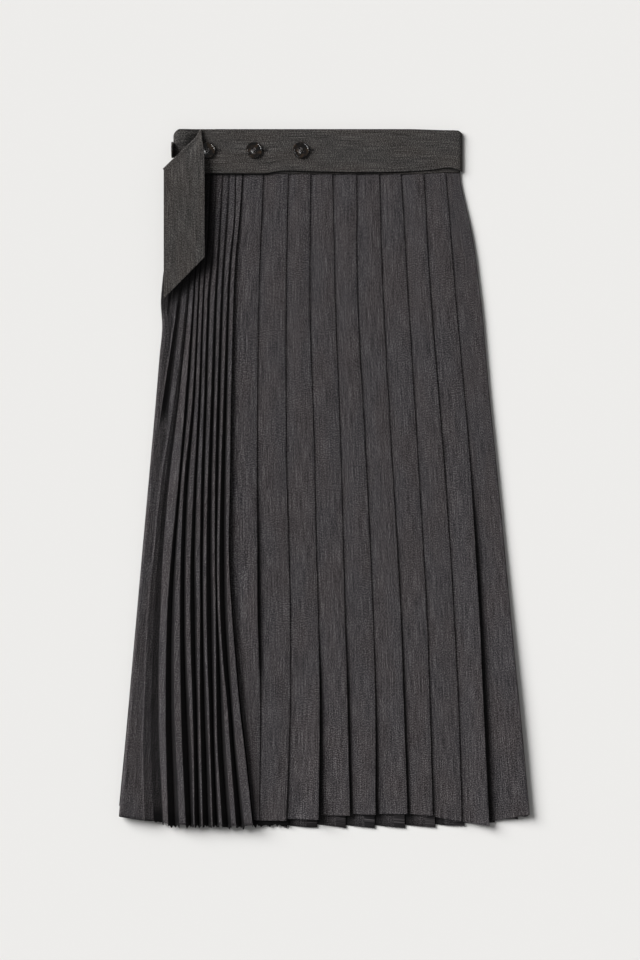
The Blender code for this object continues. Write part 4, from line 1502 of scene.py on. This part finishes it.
def hornMaterial():
    stops = [(0.45, toLinear(horn["darkHex"])), (0.8, toLinear(horn["lightHex"]))]
    cloud = {"Scale": 160.0, "Detail": 3.0, "Distortion": 0.6}
    values = {"Roughness": horn["roughness"], "IOR": 1.55}
    return cloudedMaterial("polished dark horn", values, cloud, stops)


def threadMaterial(name, hexColour):
    # spun polyester thread: its soft gloss is real, and its small light and dark clouds of colour are a
    # painted sheen along each turn of its twist
    colour = toLinear(hexColour)
    stops = [(0.35, (*[0.6 * c for c in colour[:3]], 1.0)), (0.65, colour)]
    values = {"Roughness": 0.6, "Specular IOR Level": 0.3}
    return cloudedMaterial(name, values, {"Scale": 1400.0, "Detail": 1.0}, stops)


def turnedButton(name, place):
    # a turned disc with a raised rim and a dish, standing on z = 0 before it is placed
    bm = bmesh.new()
    steps = horn["steps"]
    rings = []
    for radius, z in horn["section"]:
        if radius == 0.0:
            rings.append([bm.verts.new((0.0, 0.0, z * mm))])
            continue
        ring = []
        for step in range(steps):
            angle = 2 * math.pi * step / steps
            x, y = radius * math.cos(angle), radius * math.sin(angle)
            ring.append(bm.verts.new((x * mm, y * mm, z * mm)))
        rings.append(ring)
    for inner, outer in zip(rings, rings[1:]):
        for step in range(steps):
            after = (step + 1) % steps
            corners = [inner[step % len(inner)], outer[step % len(outer)]]
            corners += [outer[after % len(outer)], inner[after % len(inner)]]
            bm.faces.new(list(dict.fromkeys(corners)))
    bmesh.ops.recalc_face_normals(bm, faces=bm.faces)
    mesh = bpy.data.meshes.new(name)
    bm.to_mesh(mesh)
    bm.free()
    button = newObject(name, mesh)
    half = horn["holeSpacing"] / 2 * mm
    for column, row in ((-1, -1), (-1, 1), (1, -1), (1, 1)):
        where = (column * half, row * half, 1.4 * mm)
        radius = horn["hole"] / 2 * mm
        cylinder = {"vertices": horn["holeSides"], "radius": radius, "depth": 9 * mm}
        bpy.ops.mesh.primitive_cylinder_add(**cylinder, location=where)
        drill = bpy.context.object
        cut = button.modifiers.new("sewing hole", "BOOLEAN")
        cut.operation = "DIFFERENCE"
        cut.solver = "EXACT"
        cut.object = drill
        drilled = finalMesh(button)
        button.modifiers.clear()
        button.data = drilled
        bpy.data.objects.remove(drill)
    button.data.transform(place)
    button.data.shade_smooth()
    button.data.set_sharp_from_angle(angle=math.radians(38))
    button.data.materials.clear()
    button.data.materials.append(hornFinish)
    return button


hornFinish = hornMaterial()
threadFinish = threadMaterial("charcoal sewing thread", horn["threadHex"])
hemThread = threadMaterial("grey hemming thread", sewing["threadHex"])
holeThread = threadMaterial("dark buttonhole thread", sewing["holeHex"])


def sewnThread(name, place):
    # two turns of thread over the bridges between the holes
    curve = bpy.data.curves.new(name, "CURVE")
    curve.dimensions = "3D"
    curve.bevel_depth = horn["threadRadius"] * mm
    curve.bevel_resolution = 2
    half = horn["holeSpacing"] / 2
    loop = [(inward - half, z) for inward, z in horn["threadLoop"]]
    loop = [*loop, (0.0, horn["threadTop"]), *[(-y, z) for y, z in reversed(loop)]]
    for column in (-1, 1):
        for shift in (-horn["threadSpread"], horn["threadSpread"]):
            spline = curve.splines.new("POLY")
            spline.points.add(len(loop) - 1)
            x = column * half + shift
            for point, (y, z) in zip(spline.points, loop):
                point.co = (x * mm, y * mm, z * mm, 1.0)
    made = newObject(name, curve)
    mesh = finalMesh(made)
    bpy.data.objects.remove(made)
    mesh.transform(place)
    mesh.shade_smooth()
    mesh.materials.clear()
    mesh.materials.append(threadFinish)
    piece = newObject(name, mesh)
    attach(piece, "root")


for number in range(1, 5):
    low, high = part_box(f"button_{number}")
    middle = (Vector(low) + Vector(high)) / 2
    if number < 4:
        place = Matrix.Translation((middle.x, middle.y, low[2]))
        place = place @ Matrix.Rotation(math.radians(horn["turn"] * number), 4, "Z")
    else:  # on edge at the end of the band, its face outwards
        place = Matrix.Translation((high[0], middle.y, middle.z))
        place = place @ Matrix.Rotation(math.radians(-90), 4, "Y")
    button = turnedButton(f"horn_button_{number}", place)
    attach(button, "root")
    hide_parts(f"button_{number}")
    sewnThread(f"button_thread_{number}", place)
for number in (1, 2, 3):
    low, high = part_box(f"button_{number}")
    x, y = high[0] / mm, (low[1] + high[1]) / 2 / mm
    lines = holeLines(x, y, beltHeight(x) + belt["wall"] / 2 + 0.05)
    stitch = sewing["holeStitch"], sewing["holeRadius"], sewing["holePitch"]
    sewAlong(f"buttonhole_{number}", lines, *stitch, 1.0, holeThread)
stitch = sewing["length"], sewing["radius"], sewing["pitch"]
sewAlong("hem_stitches", hemLines(), *stitch, 0.0, hemThread)
print("buttons, buttonholes and hem sewn")
